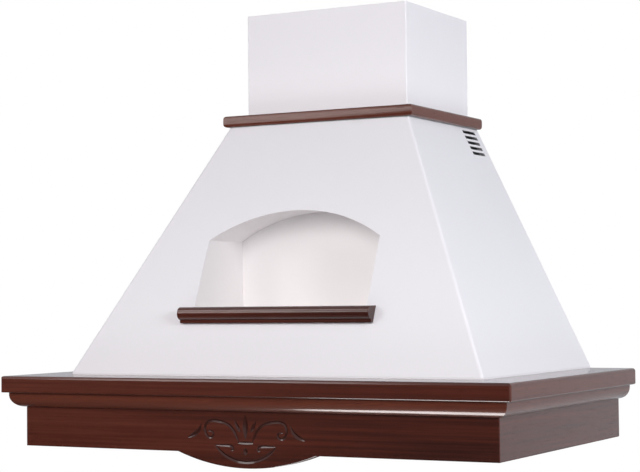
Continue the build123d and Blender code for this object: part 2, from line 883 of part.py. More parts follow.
for side, name in ((-1, "left"), (1, "right")):
    lamp_centre = (side * lamp_spacing / 2, -fitting_from_wall)

    with BuildPart() as lamp_bezel:
        with BuildSketch(Plane.XY.offset(bezel_foot)):
            with Locations(lamp_centre):
                Circle(lamp_bezel_radius)
        extrude(amount=lamp_bezel_thickness)
        chamfer(lamp_bezel.edges().group_by(Axis.Z)[0], lamp_wall)
        with BuildSketch(Plane.XY.offset(tray_underside)):
            with Locations(lamp_centre):
                Circle(lamp_neck_radius)
        extrude(amount=sheet + lamp_neck_height)
        with BuildSketch(Plane.XY.offset(bezel_foot)):
            with Locations(lamp_centre):
                Circle(lens_radius - lamp_lip)
        extrude(amount=lamp_wall, mode=Mode.SUBTRACT)
        with BuildSketch(Plane.XY.offset(bezel_foot + lamp_wall)):
            with Locations(lamp_centre):
                Circle(lens_radius + fit_gap)
        extrude(amount=lamp_bezel_thickness + sheet + lamp_neck_height, mode=Mode.SUBTRACT)
    pieces[f"lamp_bezel_{name}"] = lamp_bezel

    with BuildPart() as lamp_lens:
        with BuildSketch(Plane.XY.offset(bezel_foot + lamp_wall)):
            with Locations(lamp_centre):
                Circle(lens_radius)
        extrude(amount=lens_thickness)
    pieces[f"lamp_lens_{name}"] = lamp_lens

    with BuildPart() as lamp_holder:
        with BuildSketch(Plane.XY.offset(tray_level)):
            with Locations(lamp_centre):
                Circle(lamp_hole_radius + lamp_flange_width)
        extrude(amount=lamp_wall)
        with BuildSketch(Plane.XY.offset(tray_level)):
            with Locations(lamp_centre):
                Circle(holder_inside + lamp_wall)
        extrude(amount=lamp_holder_height)
        with BuildSketch(Plane.XY.offset(tray_level)):
            with Locations(lamp_centre):
                Circle(holder_inside)
        extrude(amount=lamp_holder_height - lamp_wall, mode=Mode.SUBTRACT)
    pieces[f"lamp_holder_{name}"] = lamp_holder

    with BuildPart() as lamp_bulb:
        with BuildSketch(Plane.XY.offset(tray_level + lamp_holder_height - lamp_wall)):
            with Locations(lamp_centre):
                Circle(bulb_radius)
        extrude(amount=-bulb_height)
        chamfer(lamp_bulb.edges().group_by(Axis.Z)[0], bulb_radius / 2)
    pieces[f"lamp_bulb_{name}"] = lamp_bulb

# Push buttons in a bezel, with the switch block above the tray
control_width = button_pitch * (len(button_names) - 1) + button_size + 2 * control_margin
control_foot = tray_underside - control_thickness
button_collar_foot = tray_underside + fit_gap
button_stem_top = button_collar_foot + button_collar_thickness + button_stem

with BuildPart() as control_bezel:
    with BuildSketch(Plane.XY.offset(control_foot)):
        with Locations((0, -fitting_from_wall)):
            RectangleRounded(control_width, control_depth, control_thickness)
            with GridLocations(button_pitch, control_depth, len(button_names), 1):
                Rectangle(button_size + 2 * fit_gap, button_size + 2 * fit_gap, mode=Mode.SUBTRACT)
    extrude(amount=control_thickness)
pieces["control_bezel"] = control_bezel

with BuildPart() as switch_block:
    with BuildSketch(Plane.XY.offset(tray_level)):
        with Locations((0, -fitting_from_wall)):
            Rectangle(control_width, control_depth)
    extrude(amount=switch_block_height)
    with BuildSketch(Plane.XY.offset(tray_level)):
        with Locations((0, -fitting_from_wall)):
            with GridLocations(button_pitch, control_depth, len(button_names), 1):
                Rectangle(button_hole, button_hole)
    extrude(amount=button_stem_top - tray_level + button_travel + slide_gap, mode=Mode.SUBTRACT)
pieces["switch_block"] = switch_block

for place, name in enumerate(button_names):
    button_x = button_pitch * (place - (len(button_names) - 1) / 2)
    button_foot = control_foot - button_proud
    with BuildPart() as button:
        with BuildSketch(Plane.XY.offset(button_foot)):
            with Locations((button_x, -fitting_from_wall)):
                Rectangle(button_size, button_size)
        extrude(amount=button_collar_foot - button_foot)
        chamfer(button.edges().group_by(Axis.Z)[0], button_collar / 2)
        with BuildSketch(Plane.XY.offset(button_collar_foot)):
            with Locations((button_x, -fitting_from_wall)):
                Rectangle(button_collar_size, button_collar_size)
        extrude(amount=button_collar_thickness)
        with BuildSketch(Plane.XY.offset(button_collar_foot + button_collar_thickness)):
            with Locations((button_x, -fitting_from_wall)):
                Rectangle(button_size / 2, button_size / 2)
        extrude(amount=button_stem)
    pieces[f"button_{name}"] = button

# Blower casing: a scroll drawn on a small square of centres, and a neck from square to round
scroll_mid_radius = scroll_start_radius + scroll_growth
scroll_end_radius = scroll_start_radius + 2 * scroll_growth
scroll_step = scroll_growth / 2
scroll_rear = duct_from_wall - scroll_depth / 2
fan_x = scroll_end_radius / 2
neck_width = scroll_end_radius + scroll_growth
neck_depth = scroll_depth - 2 * scroll_wall


def fan_plane(distance):
    """Upright plane square to the wheel's axis, at a distance from the wall."""
    return Plane(origin=(fan_x, -distance, scroll_level), x_dir=(1, 0, 0), z_dir=(0, -1, 0))


def scroll_outline(distance, grow):
    """The scroll and its neck: three quarter arcs that widen towards the outlet."""
    outlet_x = -scroll_step - scroll_end_radius - grow
    tongue_x = scroll_step + grow
    tongue_angle = acos(grow / (scroll_start_radius + grow))
    tongue_z = (scroll_start_radius + grow) * sin(tongue_angle) - scroll_step
    neck_rise = neck_square_level - scroll_level
    with BuildSketch(fan_plane(distance)) as outline:
        with BuildLine():
            Polyline(
                (outlet_x, scroll_step),
                (outlet_x, neck_rise),
                (tongue_x, neck_rise),
                (tongue_x, tongue_z),
            )
            CenterArc(
                (scroll_step, -scroll_step),
                scroll_start_radius + grow,
                degrees(tongue_angle),
                -degrees(tongue_angle),
            )
            CenterArc((-scroll_step, -scroll_step), scroll_mid_radius + grow, 0, -90)
            CenterArc((-scroll_step, scroll_step), scroll_end_radius + grow, -90, -90)
        make_face()
    return outline.sketch


def neck_loft_sections(grow):
    with BuildSketch(Plane.XY.offset(neck_square_level)) as square:
        with Locations((0, -duct_from_wall)):
            Rectangle(neck_width + 2 * grow, neck_depth + 2 * grow)
    with BuildSketch(Plane.XY.offset(canopy_height)) as round_end:
        with Locations((0, -duct_from_wall)):
            Circle(duct_radius + grow)
    return [square.sketch, round_end.sketch]


with BuildPart() as volute:
    extrude(scroll_outline(scroll_rear, scroll_wall), amount=scroll_depth)
    loft(neck_loft_sections(scroll_wall))
    with BuildSketch(Plane.XY.offset(canopy_height - neck_flange_thickness)):
        with Locations((0, -duct_from_wall)):
            Rectangle(neck_flange_width, neck_flange_width)
    extrude(amount=neck_flange_thickness)
    with BuildSketch(fan_plane(scroll_rear + scroll_depth)):
        Circle(inlet_radius + inlet_lip)
    extrude(amount=inlet_lip, taper=inlet_taper)
    extrude(scroll_outline(scroll_rear + scroll_wall, 0), amount=neck_depth, mode=Mode.SUBTRACT)
    loft(neck_loft_sections(0), mode=Mode.SUBTRACT)
    with BuildSketch(fan_plane(scroll_rear)):
        Circle(motor_pilot_radius)
    extrude(amount=scroll_wall, mode=Mode.SUBTRACT)
    with BuildSketch(fan_plane(scroll_rear + scroll_depth - scroll_wall)):
        Circle(inlet_radius - inlet_lip)
    extrude(amount=scroll_wall + inlet_lip, mode=Mode.SUBTRACT)
    add(collar_screw_holes, mode=Mode.SUBTRACT)

with BuildPart() as volute_rear:
    add(volute.part)
    split(bisect_by=Plane.XZ.offset(duct_from_wall), keep=Keep.BOTTOM)
pieces["volute_rear"] = volute_rear

with BuildPart() as volute_front:
    add(volute.part)
    split(bisect_by=Plane.XZ.offset(duct_from_wall), keep=Keep.TOP)
pieces["volute_front"] = volute_front

# Blower wheel: forward-curved blades between a back plate with its hub and a front ring
wheel_rear = duct_from_wall - wheel_width / 2
blade_tip = wheel_radius - blade_thickness
blade_foot = blade_tip - blade_chord


def on_wheel(radius, angle):
    """A point on the wheel's plane, by radius and degrees."""
    return (radius * cos(radians(angle)), radius * sin(radians(angle)))


def blade_edge(turn_foot, turn_tip):
    """Foot, middle and tip of one face of a blade, which curls forward towards its tip."""
    return (
        on_wheel(blade_foot, turn_foot),
        on_wheel((blade_foot + blade_tip) / 2, (turn_foot + turn_tip) / 2 - blade_bow),
        on_wheel(blade_tip, turn_tip),
    )


trailing_edge = blade_edge(0, blade_lead)
leading_edge = blade_edge(
    degrees(blade_thickness / blade_foot), blade_lead + degrees(blade_thickness / blade_tip)
)
with BuildSketch() as blade:
    with BuildLine():
        ThreePointArc(*trailing_edge)
        Line(trailing_edge[2], leading_edge[2])
        ThreePointArc(*leading_edge)
        Line(leading_edge[0], trailing_edge[0])
    make_face()

with BuildPart() as impeller:
    with BuildSketch(fan_plane(wheel_rear)):
        Circle(wheel_radius)
    extrude(amount=wheel_plate)
    with BuildSketch(fan_plane(wheel_rear)):
        Circle(hub_radius)
    extrude(amount=hub_length)
    with BuildSketch(fan_plane(wheel_rear + wheel_plate)):
        with PolarLocations(0, blade_count):
            add(blade.sketch)
    extrude(amount=wheel_width - 2 * wheel_plate)
    with BuildSketch(fan_plane(wheel_rear + wheel_width - wheel_plate)):
        Circle(wheel_radius)
        Circle(blade_foot, mode=Mode.SUBTRACT)
    extrude(amount=wheel_plate)
    with BuildSketch(fan_plane(wheel_rear)):
        Circle(shaft_radius + pin_gap)
    extrude(amount=hub_length, mode=Mode.SUBTRACT)
pieces["impeller"] = impeller

# Motor behind the casing, with its shaft through to the wheel's hub
motor_rear = scroll_rear - motor_length
with BuildPart() as fan_motor:
    with BuildSketch(fan_plane(motor_rear)):
        Circle(motor_radius)
    extrude(amount=motor_length)
    chamfer(fan_motor.edges().group_by(Axis.Y)[-1], motor_edge)
    with BuildSketch(fan_plane(motor_rear + motor_edge)):
        Circle(shaft_radius + pin_gap)
    extrude(amount=motor_length - motor_edge, mode=Mode.SUBTRACT)
pieces["fan_motor"] = fan_motor

with BuildPart() as motor_shaft:
    with BuildSketch(fan_plane(motor_rear + motor_edge + fit_gap)):
        Circle(shaft_radius)
    extrude(amount=wheel_rear + hub_length - motor_rear - motor_edge - fit_gap)
pieces["motor_shaft"] = motor_shaft

# Outlet collar with a ledge for the flaps and holes for their spindle
flap_axis_level = plate_top + flap_level
flap_foot = flap_axis_level - flap_thickness / 2
spindle_plane = Plane(origin=(0, -duct_from_wall, flap_axis_level), x_dir=(1, 0, 0), z_dir=(0, -1, 0))

with BuildPart() as outlet_collar:
    for level, radius, height in (
        (plate_top, collar_flange_radius, collar_flange_thickness),
        (plate_top, collar_radius, collar_height),
    ):
        with BuildSketch(Plane.XY.offset(level)):
            with Locations((0, -duct_from_wall)):
                Circle(radius)
        extrude(amount=height)
    with BuildSketch(Plane.XY.offset(plate_top)):
        with Locations((0, -duct_from_wall)):
            Circle(duct_radius)
    extrude(amount=collar_height, mode=Mode.SUBTRACT)
    with BuildSketch(Plane.XY.offset(flap_foot - fit_gap - flap_ledge_thickness)):
        with Locations((0, -duct_from_wall)):
            Circle(duct_radius)
            Circle(duct_radius - flap_ledge, mode=Mode.SUBTRACT)
    extrude(amount=flap_ledge_thickness)
    with BuildSketch(spindle_plane):
        Circle(spindle_radius + pin_gap)
    extrude(amount=collar_radius, both=True, mode=Mode.SUBTRACT)
    add(collar_screw_holes, mode=Mode.SUBTRACT)
pieces["outlet_collar"] = outlet_collar

with BuildPart() as flap_spindle:
    with BuildSketch(spindle_plane):
        Circle(spindle_radius)
    extrude(amount=collar_radius - fit_gap, both=True)
pieces["flap_spindle"] = flap_spindle

# Non-return flaps: half discs whose knuckles share the spindle turn and turn about
knuckle_pitch = knuckle_length + knuckle_gap
for side, name in ((-1, "left"), (1, "right")):
    with BuildPart() as check_flap:
        with BuildSketch(Plane.XY.offset(flap_foot)):
            with Locations((0, -duct_from_wall)):
                Circle(duct_radius - flap_clearance)
            with Locations((side * (flap_root - collar_radius), -duct_from_wall)):
                Rectangle(2 * collar_radius, 2 * collar_radius, mode=Mode.SUBTRACT)
            for place in knuckle_places:
                with Locations((side * flap_root / 2, side * place * knuckle_pitch - duct_from_wall)):
                    Rectangle(flap_root, knuckle_length)
        extrude(amount=flap_thickness)
        for place in knuckle_places:
            knuckle_y = side * place * knuckle_pitch - duct_from_wall
            with BuildSketch(spindle_plane.offset(-duct_from_wall - knuckle_y)):
                Circle(knuckle_radius)
            extrude(amount=knuckle_length / 2, both=True)
        with BuildSketch(spindle_plane):
            Circle(spindle_radius + pin_gap)
        extrude(amount=collar_radius, both=True, mode=Mode.SUBTRACT)
    pieces[f"check_flap_{name}"] = check_flap

# Electrics box and capacitor on the back panel, and the gland for the mains lead
with BuildPart() as electrics_box:
    with BuildSketch(Plane.XZ.offset(panel_sheet)):
        with Locations((-electrics_from_centre, electrics_level)):
            RectangleRounded(electrics_width, electrics_height, electrics_round)
    extrude(amount=electrics_depth)
pieces["electrics_box"] = electrics_box

with BuildPart() as run_capacitor:
    with BuildSketch(
        Plane(
            origin=(capacitor_from_centre, -panel_sheet - capacitor_radius, capacitor_level),
            x_dir=(0, 1, 0),
            z_dir=(1, 0, 0),
        )
    ):
        Circle(capacitor_radius)
    extrude(amount=capacitor_length / 2, both=True)
pieces["run_capacitor"] = run_capacitor

gland_foot = canopy_height - gland_nut
with BuildPart() as cable_gland:
    with BuildSketch(Plane.XY.offset(gland_foot)):
        with Locations((-gland_from_centre, -gland_from_wall)):
            Circle(gland_radius)
    extrude(amount=gland_nut + top_plate_thickness + gland_height)
    for level in (gland_foot, plate_top):
        with BuildSketch(Plane.XY.offset(level)):
            with Locations((-gland_from_centre, -gland_from_wall)):
                RegularPolygon(gland_nut_radius, 6)
        extrude(amount=gland_nut)
    with BuildSketch(Plane.XY.offset(gland_foot)):
        with Locations((-gland_from_centre, -gland_from_wall)):
            Circle(gland_bore)
    extrude(amount=gland_nut + top_plate_thickness + gland_height, mode=Mode.SUBTRACT)
pieces["cable_gland"] = cable_gland

os.makedirs("parts", exist_ok=True)
for name, piece in pieces.items():
    piece.part.label = name
    export_step(piece.part, f"parts/{name}.step")
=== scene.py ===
"""Finishes a wall-mounted range hood with white enamel, carved dark wood, filters, lamps and a studio."""

import json
import math

import bpy
from bpy.props import FloatProperty, FloatVectorProperty, IntProperty, PointerProperty
from bpy.types import Operator, Panel, PropertyGroup
from mathutils import Matrix, Vector


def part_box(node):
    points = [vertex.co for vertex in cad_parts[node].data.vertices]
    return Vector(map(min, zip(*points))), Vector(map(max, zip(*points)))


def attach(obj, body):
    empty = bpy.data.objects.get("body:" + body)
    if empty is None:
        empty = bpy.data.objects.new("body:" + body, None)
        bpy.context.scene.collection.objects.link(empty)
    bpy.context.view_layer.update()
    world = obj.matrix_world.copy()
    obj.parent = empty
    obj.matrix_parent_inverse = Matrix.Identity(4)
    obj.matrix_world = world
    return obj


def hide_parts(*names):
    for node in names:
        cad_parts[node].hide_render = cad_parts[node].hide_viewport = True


bl_info = {
    "name": "Range Hood Finish",
    "version": (1, 0, 0),
    "blender": (4, 5, 0),
    "location": "View3D > Sidebar > Range Hood",
    "description": "Finishes a wall-mounted range hood with an arched niche and a carved wooden cornice",
    "category": "Object",
}

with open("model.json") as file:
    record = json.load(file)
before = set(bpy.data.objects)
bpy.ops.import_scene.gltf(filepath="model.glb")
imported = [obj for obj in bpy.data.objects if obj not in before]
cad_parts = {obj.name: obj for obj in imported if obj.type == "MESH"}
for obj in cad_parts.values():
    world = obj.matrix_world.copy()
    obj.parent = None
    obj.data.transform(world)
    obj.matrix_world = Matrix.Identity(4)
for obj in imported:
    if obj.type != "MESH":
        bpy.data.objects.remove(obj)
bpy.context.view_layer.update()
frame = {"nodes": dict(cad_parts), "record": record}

MILLIMETRE = 0.001
WARM_LAMP = (1.0, 0.965, 0.955)
COOL_LAMP = (0.965, 0.975, 1.0)
COOL_FILL = (0.93, 0.95, 1.0, 1.0)
WHITE = (1.0, 1.0, 1.0, 1.0)
PAPER = (0.86, 0.86, 0.86, 1.0)
PAPER_SPECK = (0.84, 0.84, 0.84, 1.0)
# Side on which gloss mirrors a dark studio, and the cosines at which it starts and is full
DARK_SIDE = (-0.36, -0.58, -0.73)
DARK_START = 0.26
DARK_FULL = 0.56
# Sides to which the inner faces of the canopy's sheets look; these faces get near-black painted shade
INWARD = {"canopy_front": (0, 1, 0), "canopy_left": (1, 0, 0), "canopy_right": (-1, 0, 0)}
DOWN = (0, 0, -1)

# Carving on the front apron, right half: each cut is a line of (x, z, half-width) in millimetres
SCROLL = (
    (12.4, -97.0, 0.5), (16.0, -88.5, 1.6), (19.5, -81.8, 1.7), (25.3, -74.6, 1.7), (33.6, -69.4, 1.7),
    (44.8, -66.4, 1.7), (58.0, -65.0, 1.6), (68.5, -67.4, 1.6), (73.0, -74.5, 1.6), (72.5, -84.0, 1.5),
    (68.0, -91.0, 1.5), (60.0, -92.0, 1.4), (56.5, -86.0, 1.3), (60.5, -81.0, 1.1), (66.0, -82.0, 0.4),
)
TAIL = ((79.7, -71.0, 0.4), (82.0, -78.6, 1.7), (88.1, -84.9, 2.6), (96.0, -89.9, 2.3), (104.0, -92.6, 0.5))
SIDE_LEAF = ((18.9, -65.4, 0.4), (15.8, -71.3, 2.0), (12.6, -77.0, 2.4), (9.9, -82.3, 0.5))
CENTRE_LEAF = ((0, -55.0, 0.3), (0, -64.5, 2.4), (0, -74.5, 3.6), (0, -83.0, 2.6), (0, -93.5, 0.3))
COLLAR = ((-13.5, -98.6, 1.0), (-6.0, -98.6, 1.7), (6.0, -98.6, 1.7), (13.5, -98.6, 1.0))
CUP = (
    (-54.5, -103.0, 0.5), (-48.0, -110.5, 1.6), (-33.0, -121.0, 1.8), (-12.0, -128.0, 1.8),
    (12.0, -128.0, 1.8), (33.0, -121.0, 1.8), (48.0, -110.5, 1.6), (54.5, -103.0, 0.5),
)
CUP_LINE = (
    (53.0, -103.4, 0.5), (41.0, -103.4, 1.4), (28.0, -103.2, 1.5), (21.5, -106.0, 1.5), (22.5, -111.0, 1.4),
    (27.0, -110.0, 0.5),
)
DROP = ((0, -106.5, 0.3), (0, -108.8, 2.0), (0, -112.2, 2.7), (0, -115.4, 2.0), (0, -117.6, 0.3))
# How each kind of board departs from plain mahogany: a lighter tone painted as light, the share by which
# a long board darkens to the right as painted shade, the weight of its lacquer, and an underside without
# lacquer
BOARD_FINISH = {
    "cornice": {"painted_light_lift": 0.09, "fade": 0.27},
    "ovolo": {"painted_light_lift": 0.19, "fade": 0.0},
    "apron": {"fade": 0.28, "bare_foot": True},
    "crown": {"painted_light_lift": 0.30, "coat": 0.70},
    "shelf": {"coat": 0.80},
}
# Shift of the grain from one board to the next
GRAIN_SHIFT = (0.37, 0.71, 0.53)
# A wall of a cut lies between these depths behind the apron's face and above this height
GROOVE_START = MILLIMETRE / 100
GROOVE_REACH = 0.005
GROOVE_FOOT = -0.1335
# Angles in degrees: an edge stays sharp past the first two, and is flat enough to go below the third
CARVING_CREASE = 18
LENS_CREASE = 20
FLAT_EDGE = 0.05
# A face looks up or down past this cosine
LEVEL_FACE = 0.5
# Shares of the floor's width at which it starts to fade and is gone
FADE_START = 0.2
FADE_END = 0.48
BUTTON_MARKS = {"button_off": "0", "button_speed_1": "1", "button_speed_2": "2", "button_speed_3": "3"}


class Value:
    """A shader socket that can be used in sums, each of which adds a Math node."""

    def __init__(self, shader, socket):
        self.shader = shader
        self.socket = socket

    def sum(self, operation, first, second):
        return self.shader.node("ShaderNodeMath", {"operation": operation}, {0: first, 1: second})

    def __add__(self, other):
        return self.sum("ADD", self, other)

    def __sub__(self, other):
        return self.sum("SUBTRACT", self, other)

    def __rsub__(self, other):
        return self.sum("SUBTRACT", other, self)

    def __mul__(self, other):
        return self.sum("MULTIPLY", self, other)

    __radd__ = __add__
    __rmul__ = __mul__


class Shader:
    """The nodes of one material or world."""

    def __init__(self, owner):
        owner.use_nodes = True
        self.owner = owner
        self.tree = owner.node_tree
        self.tree.nodes.clear()

    def node(self, kind, settings, sockets, output=0):
        """Adds a node: its settings are made first, then its sockets get their values or links."""
        made = self.tree.nodes.new(kind)
        for name, setting in settings.items():
            if name == "stops":
                self.fill_ramp(made.color_ramp.elements, setting)
            else:
                setattr(made, name, setting)
        for name, value in sockets.items():
            if isinstance(value, Value):
                self.tree.links.new(value.socket, made.inputs[name])
            else:
                made.inputs[name].default_value = value
        return Value(self, made.outputs[output]) if made.outputs else None

    def fill_ramp(self, elements, stops):
        while len(elements) < len(stops):
            elements.new(1.0)
        for element, (position, colour) in zip(elements, stops):
            element.position = position
            element.color = (*colour, 1.0)

    def place(self, scale=(1.0, 1.0, 1.0), shift=(0.0, 0.0, 0.0)):
        """Object coordinates in metres, stretched and shifted."""
        place = self.node("ShaderNodeTexCoord", {}, {}, "Object")
        return self.node("ShaderNodeMapping", {}, {"Vector": place, "Scale": scale, "Location": shift})

    def along(self, axis):
        """One of the Object coordinates."""
        return self.node("ShaderNodeSeparateXYZ", {}, {"Vector": self.place()}, axis)

    def dot(self, first, second):
        """How closely two directions agree."""
        settings = {"operation": "DOT_PRODUCT"}
        return self.node("ShaderNodeVectorMath", settings, {0: first, 1: second}, "Value")

    def facing(self, direction):
        """How squarely a face points in a direction."""
        return self.dot(self.node("ShaderNodeNewGeometry", {}, {}, "True Normal"), direction)

    def ray(self, kind):
        """1 for light of one kind, such as what the camera sees, and otherwise 0."""
        return self.node("ShaderNodeLightPath", {}, {}, f"Is {kind} Ray")

    def noise(self, place, scale=1.0, detail=2.0, roughness=0.5):
        sockets = {"Vector": place, "Scale": scale, "Detail": detail, "Roughness": roughness}
        return self.node("ShaderNodeTexNoise", {}, sockets)

    def between(self, value, low, high):
        """A smooth step from 0 at low to 1 at high."""
        sockets = {"Value": value, "From Min": low, "From Max": high}
        return self.node("ShaderNodeMapRange", {"interpolation_type": "SMOOTHSTEP"}, sockets)

    def mix(self, share, first, second):
        """Blends two colours."""
        return self.node("ShaderNodeMix", {"data_type": "RGBA"}, {0: share, 6: first, 7: second}, 2)

    def bump(self, height, depth, strength=1.0):
        sockets = {"Height": height, "Distance": depth, "Strength": strength}
        return self.node("ShaderNodeBump", {}, sockets)

    def surface(self, sockets):
        """Closes the material with a Principled surface."""
        made = self.node("ShaderNodeBsdfPrincipled", {}, sockets)
        self.node("ShaderNodeOutputMaterial", {}, {"Surface": made})
        return self.owner


def shader(name):
    return Shader(bpy.data.materials.new(name))


def solid(colour):
    return (*colour, 1.0)


def dimmed(colour, share):
    """A darker tone of a colour."""
    return solid([share * part for part in colour])


def white_enamel(name, shade, full, foot, head, inner_painted_shade, inward):
    """Satin powder coat with a fine orange peel, paler at its foot and darker at its head as painted shade,
    and a near-black inner face as painted shade.
    """
    make = shader(name)
    place = make.place()
    # Painted shade: the coat darkens from its foot up to its head.
    painted_shade_rise = make.between(make.along("Z"), foot, head)
    drift = 0.85 * painted_shade_rise + 0.15 * make.noise(place, scale=4.0, detail=3.0)
    peel = make.noise(place, scale=850.0)
    # Painted shade: the inner faces turn near-black.
    inner = make.between(make.facing(inward), low=0.3, high=0.5)
    return make.surface({
        "Base Color": make.mix(inner, make.mix(drift, solid(full), solid(shade)), solid(inner_painted_shade)),
        "Roughness": 0.46 + 0.10 * make.noise(place, scale=30.0),
        "Normal": make.bump(peel, depth=0.00006, strength=0.35),
        "Specular IOR Level": 0.25,
    })


def mahogany(colours, name, along_front, number, painted_light_lift=0.0, fade=0.22, coat=0.95, bare_foot=False):
    """Stained mahogany under satin lacquer, with bands, streaks and pores along the grain; some boards get
    a lighter tone as painted light, and long front boards darken to the right as painted shade.
    """
    make = shader(name)
    shift = [number * step for step in GRAIN_SHIFT]

    def grain(along, across):
        scale = (along, across, across) if along_front else (across, along, across)
        return make.place(scale, shift)

    band = make.noise(grain(along=1.4, across=24.0), detail=3.0, roughness=0.55)
    streak = make.noise(grain(along=3.0, across=190.0), detail=4.0, roughness=0.6)
    pore = make.between(make.noise(grain(along=30.0, across=1500.0)), low=0.56, high=0.70)
    # Painted light: some boards get a lighter tone of the same wood.
    figure = 0.35 * band + 0.65 * streak + painted_light_lift
    if along_front:
        # Painted shade: a long front board darkens towards the right.
        figure = figure + 0.09 - fade * make.between(make.along("X"), low=-0.40, high=0.40)
    stops = (
        (0.22, colours.wood_dark),
        (0.50, colours.wood),
        (0.78, colours.wood_light),
    )
    tone = make.node("ShaderNodeValToRGB", {"stops": stops}, {"Fac": figure})
    roughness = 0.40 + 0.10 * streak + 0.12 * pore
    lacquer = coat - 0.35 * pore
    if bare_foot:
        bare = make.between(make.facing(DOWN), low=0.15, high=0.45)
        roughness = roughness + 0.35 * bare
        lacquer = lacquer * (1 - bare)
    return make.surface({
        "Base Color": make.mix(0.45 * pore, tone, solid(colours.wood_dark)),
        "Roughness": roughness,
        "Normal": make.bump(0.35 * streak - 0.65 * pore, depth=0.00018, strength=0.5),
        "Specular IOR Level": 0.12,
        "Coat Weight": lacquer,
        "Coat Roughness": 0.13,
    })


def groove_stain_and_shade(colours):
    """Dark stain gathered in the cuts, deepened as painted shade in the recesses, under the same lacquer.
    """
    make = shader("groove_stain_and_shade")
    pool = make.noise(make.place(), scale=260.0, detail=3.0)
    return make.surface({
        "Base Color": make.mix(pool, solid(colours.cut_stain_and_shade), solid(colours.wood_dark)),
        "Roughness": 0.42 + 0.16 * pool,
        "Normal": make.bump(pool, depth=0.0001, strength=0.4),
        "Specular IOR Level": 0.12,
        "Coat Weight": 0.95 - 0.3 * pool,
        "Coat Roughness": 0.13,
    })


def galvanised_sheet(colours):
    """Hot-dip galvanised steel with its flower-like crystals."""
    make = shader("galvanised")
    place = make.place()
    warp = make.node("ShaderNodeTexNoise", {}, {"Vector": place, "Scale": 60.0}, "Color")
    shift = make.node("ShaderNodeVectorMath", {"operation": "SCALE"}, {0: warp, "Scale": 0.012})
    bent = make.node("ShaderNodeVectorMath", {"operation": "ADD"}, {0: place, 1: shift})
    cell = make.node("ShaderNodeTexVoronoi", {}, {"Vector": bent, "Scale": 80.0}, "Color")
    shade = make.node("ShaderNodeRGBToBW", {}, {"Color": cell})
    bloom = make.noise(place, scale=300.0, detail=3.0)
    relief = make.noise(place, scale=600.0, detail=3.0) + 0.4 * shade
    return make.surface({
        "Base Color": make.mix(shade, solid(colours.zinc_dark), solid(colours.zinc)),
        "Metallic": 1.0,
        "Roughness": 0.34 + 0.16 * shade + 0.06 * bloom,
        "Normal": make.bump(relief, depth=0.00005, strength=0.4),
    })


def rolled_aluminium(colours):
    """Rolled aluminium with fine lines along the roll."""
    make = shader("filter_aluminium")
    line = make.noise(make.place(scale=(18.0, 1600.0, 900.0)), detail=3.0)
    smear = make.noise(make.place(), scale=22.0, detail=3.0)
    return make.surface({
        "Base Color": make.mix(smear, solid(colours.aluminium_dark), solid(colours.aluminium)),
        "Metallic": 1.0,
        "Roughness": 0.24 + 0.14 * line + 0.10 * smear,
        "Normal": make.bump(line, depth=0.00003, strength=0.35),
    })


def moulded_plastic(name, colour):
    """Moulded plastic with a fine spark-eroded grain."""
    make = shader(name)
    place = make.place()
    grain = make.noise(place, scale=1900.0)
    drift = make.noise(place, scale=14.0, detail=3.0)
    return make.surface({
        "Base Color": make.mix(drift, dimmed(colour, 0.86), solid(colour)),
        "Roughness": 0.44 + 0.12 * grain + 0.05 * drift,
        "Normal": make.bump(grain, depth=0.00005, strength=0.5),
    })


def zinc_plate(colours):
    """Bright zinc plating with a faint cloudy bloom."""
    make = shader("zinc")
    place = make.place()
    cloud = make.noise(place, scale=45.0, detail=4.0)
    pit = make.noise(place, scale=900.0)
    return make.surface({
        "Base Color": make.mix(cloud, solid(colours.zinc_dark), solid(colours.zinc)),
        "Metallic": 1.0,
        "Roughness": 0.26 + 0.20 * cloud,
        "Normal": make.bump(pit, depth=0.00003, strength=0.4),
    })


def chrome_plate(colours):
    """Bright chrome with the faintest handling marks."""
    make = shader("lamp_chrome")
    mark = make.noise(make.place(), scale=70.0, detail=4.0)
    return make.surface({
        "Base Color": make.mix(mark, solid(colours.chrome_dark), solid(colours.chrome)),
        "Metallic": 1.0,
        "Roughness": 0.05 + 0.10 * mark,
    })


def frosted_glass(name, clear, frost):
    """Glass with an etched inner face."""
    make = shader(name)
    place = make.place()
    etch = make.noise(place, scale=1400.0)
    return make.surface({
        "Base Color": make.mix(make.noise(place, scale=20.0), solid(clear), dimmed(clear, 0.95)),
        "Roughness": frost + 0.12 * etch,
        "Normal": make.bump(etch, depth=0.00006, strength=0.4),
        "Transmission Weight": 0.9,
        "IOR": 1.48,
    })


def deselect():
    bpy.ops.object.select_all(action="DESELECT")


def apply_place():
    bpy.ops.object.transform_apply(location=True, rotation=True, scale=True)


def edit(select_mode="FACE"):
    bpy.ops.object.mode_set(mode="EDIT")
    bpy.ops.mesh.select_mode(type=select_mode)


def leave_edit():
    bpy.ops.object.mode_set(mode="OBJECT")


def block(low, high):
    """A box between two corners."""
    deselect()
    bpy.ops.mesh.primitive_cube_add(
        size=1, location=(Vector(low) + Vector(high)) / 2, scale=Vector(high) - Vector(low))
    apply_place()
    return bpy.context.object


def pick_edges(piece, test):
    """Selects the edges whose two ends pass a test, and enters edit mode."""
    edit("EDGE")
    bpy.ops.mesh.select_all(action="DESELECT")
    leave_edit()
    points = piece.data.vertices
    for edge in piece.data.edges:
        edge.select = test(points[edge.vertices[0]].co, points[edge.vertices[1]].co)
    edit("EDGE")


def combine(piece, tool, operation):
    """Joins a tool solid to a piece or cuts it away, and deletes the tool."""
    deselect()
    piece.select_set(True)
    bpy.context.view_layer.objects.active = piece
    bpy.ops.object.modifier_add(type="BOOLEAN")
    step = piece.modifiers[-1]
    step.operation = operation
    step.solver = "EXACT"
    step.object = tool
    bpy.ops.object.modifier_apply(modifier=step.name)
    deselect()
    tool.select_set(True)
    bpy.ops.object.delete()
    piece.select_set(True)
    bpy.context.view_layer.objects.active = piece


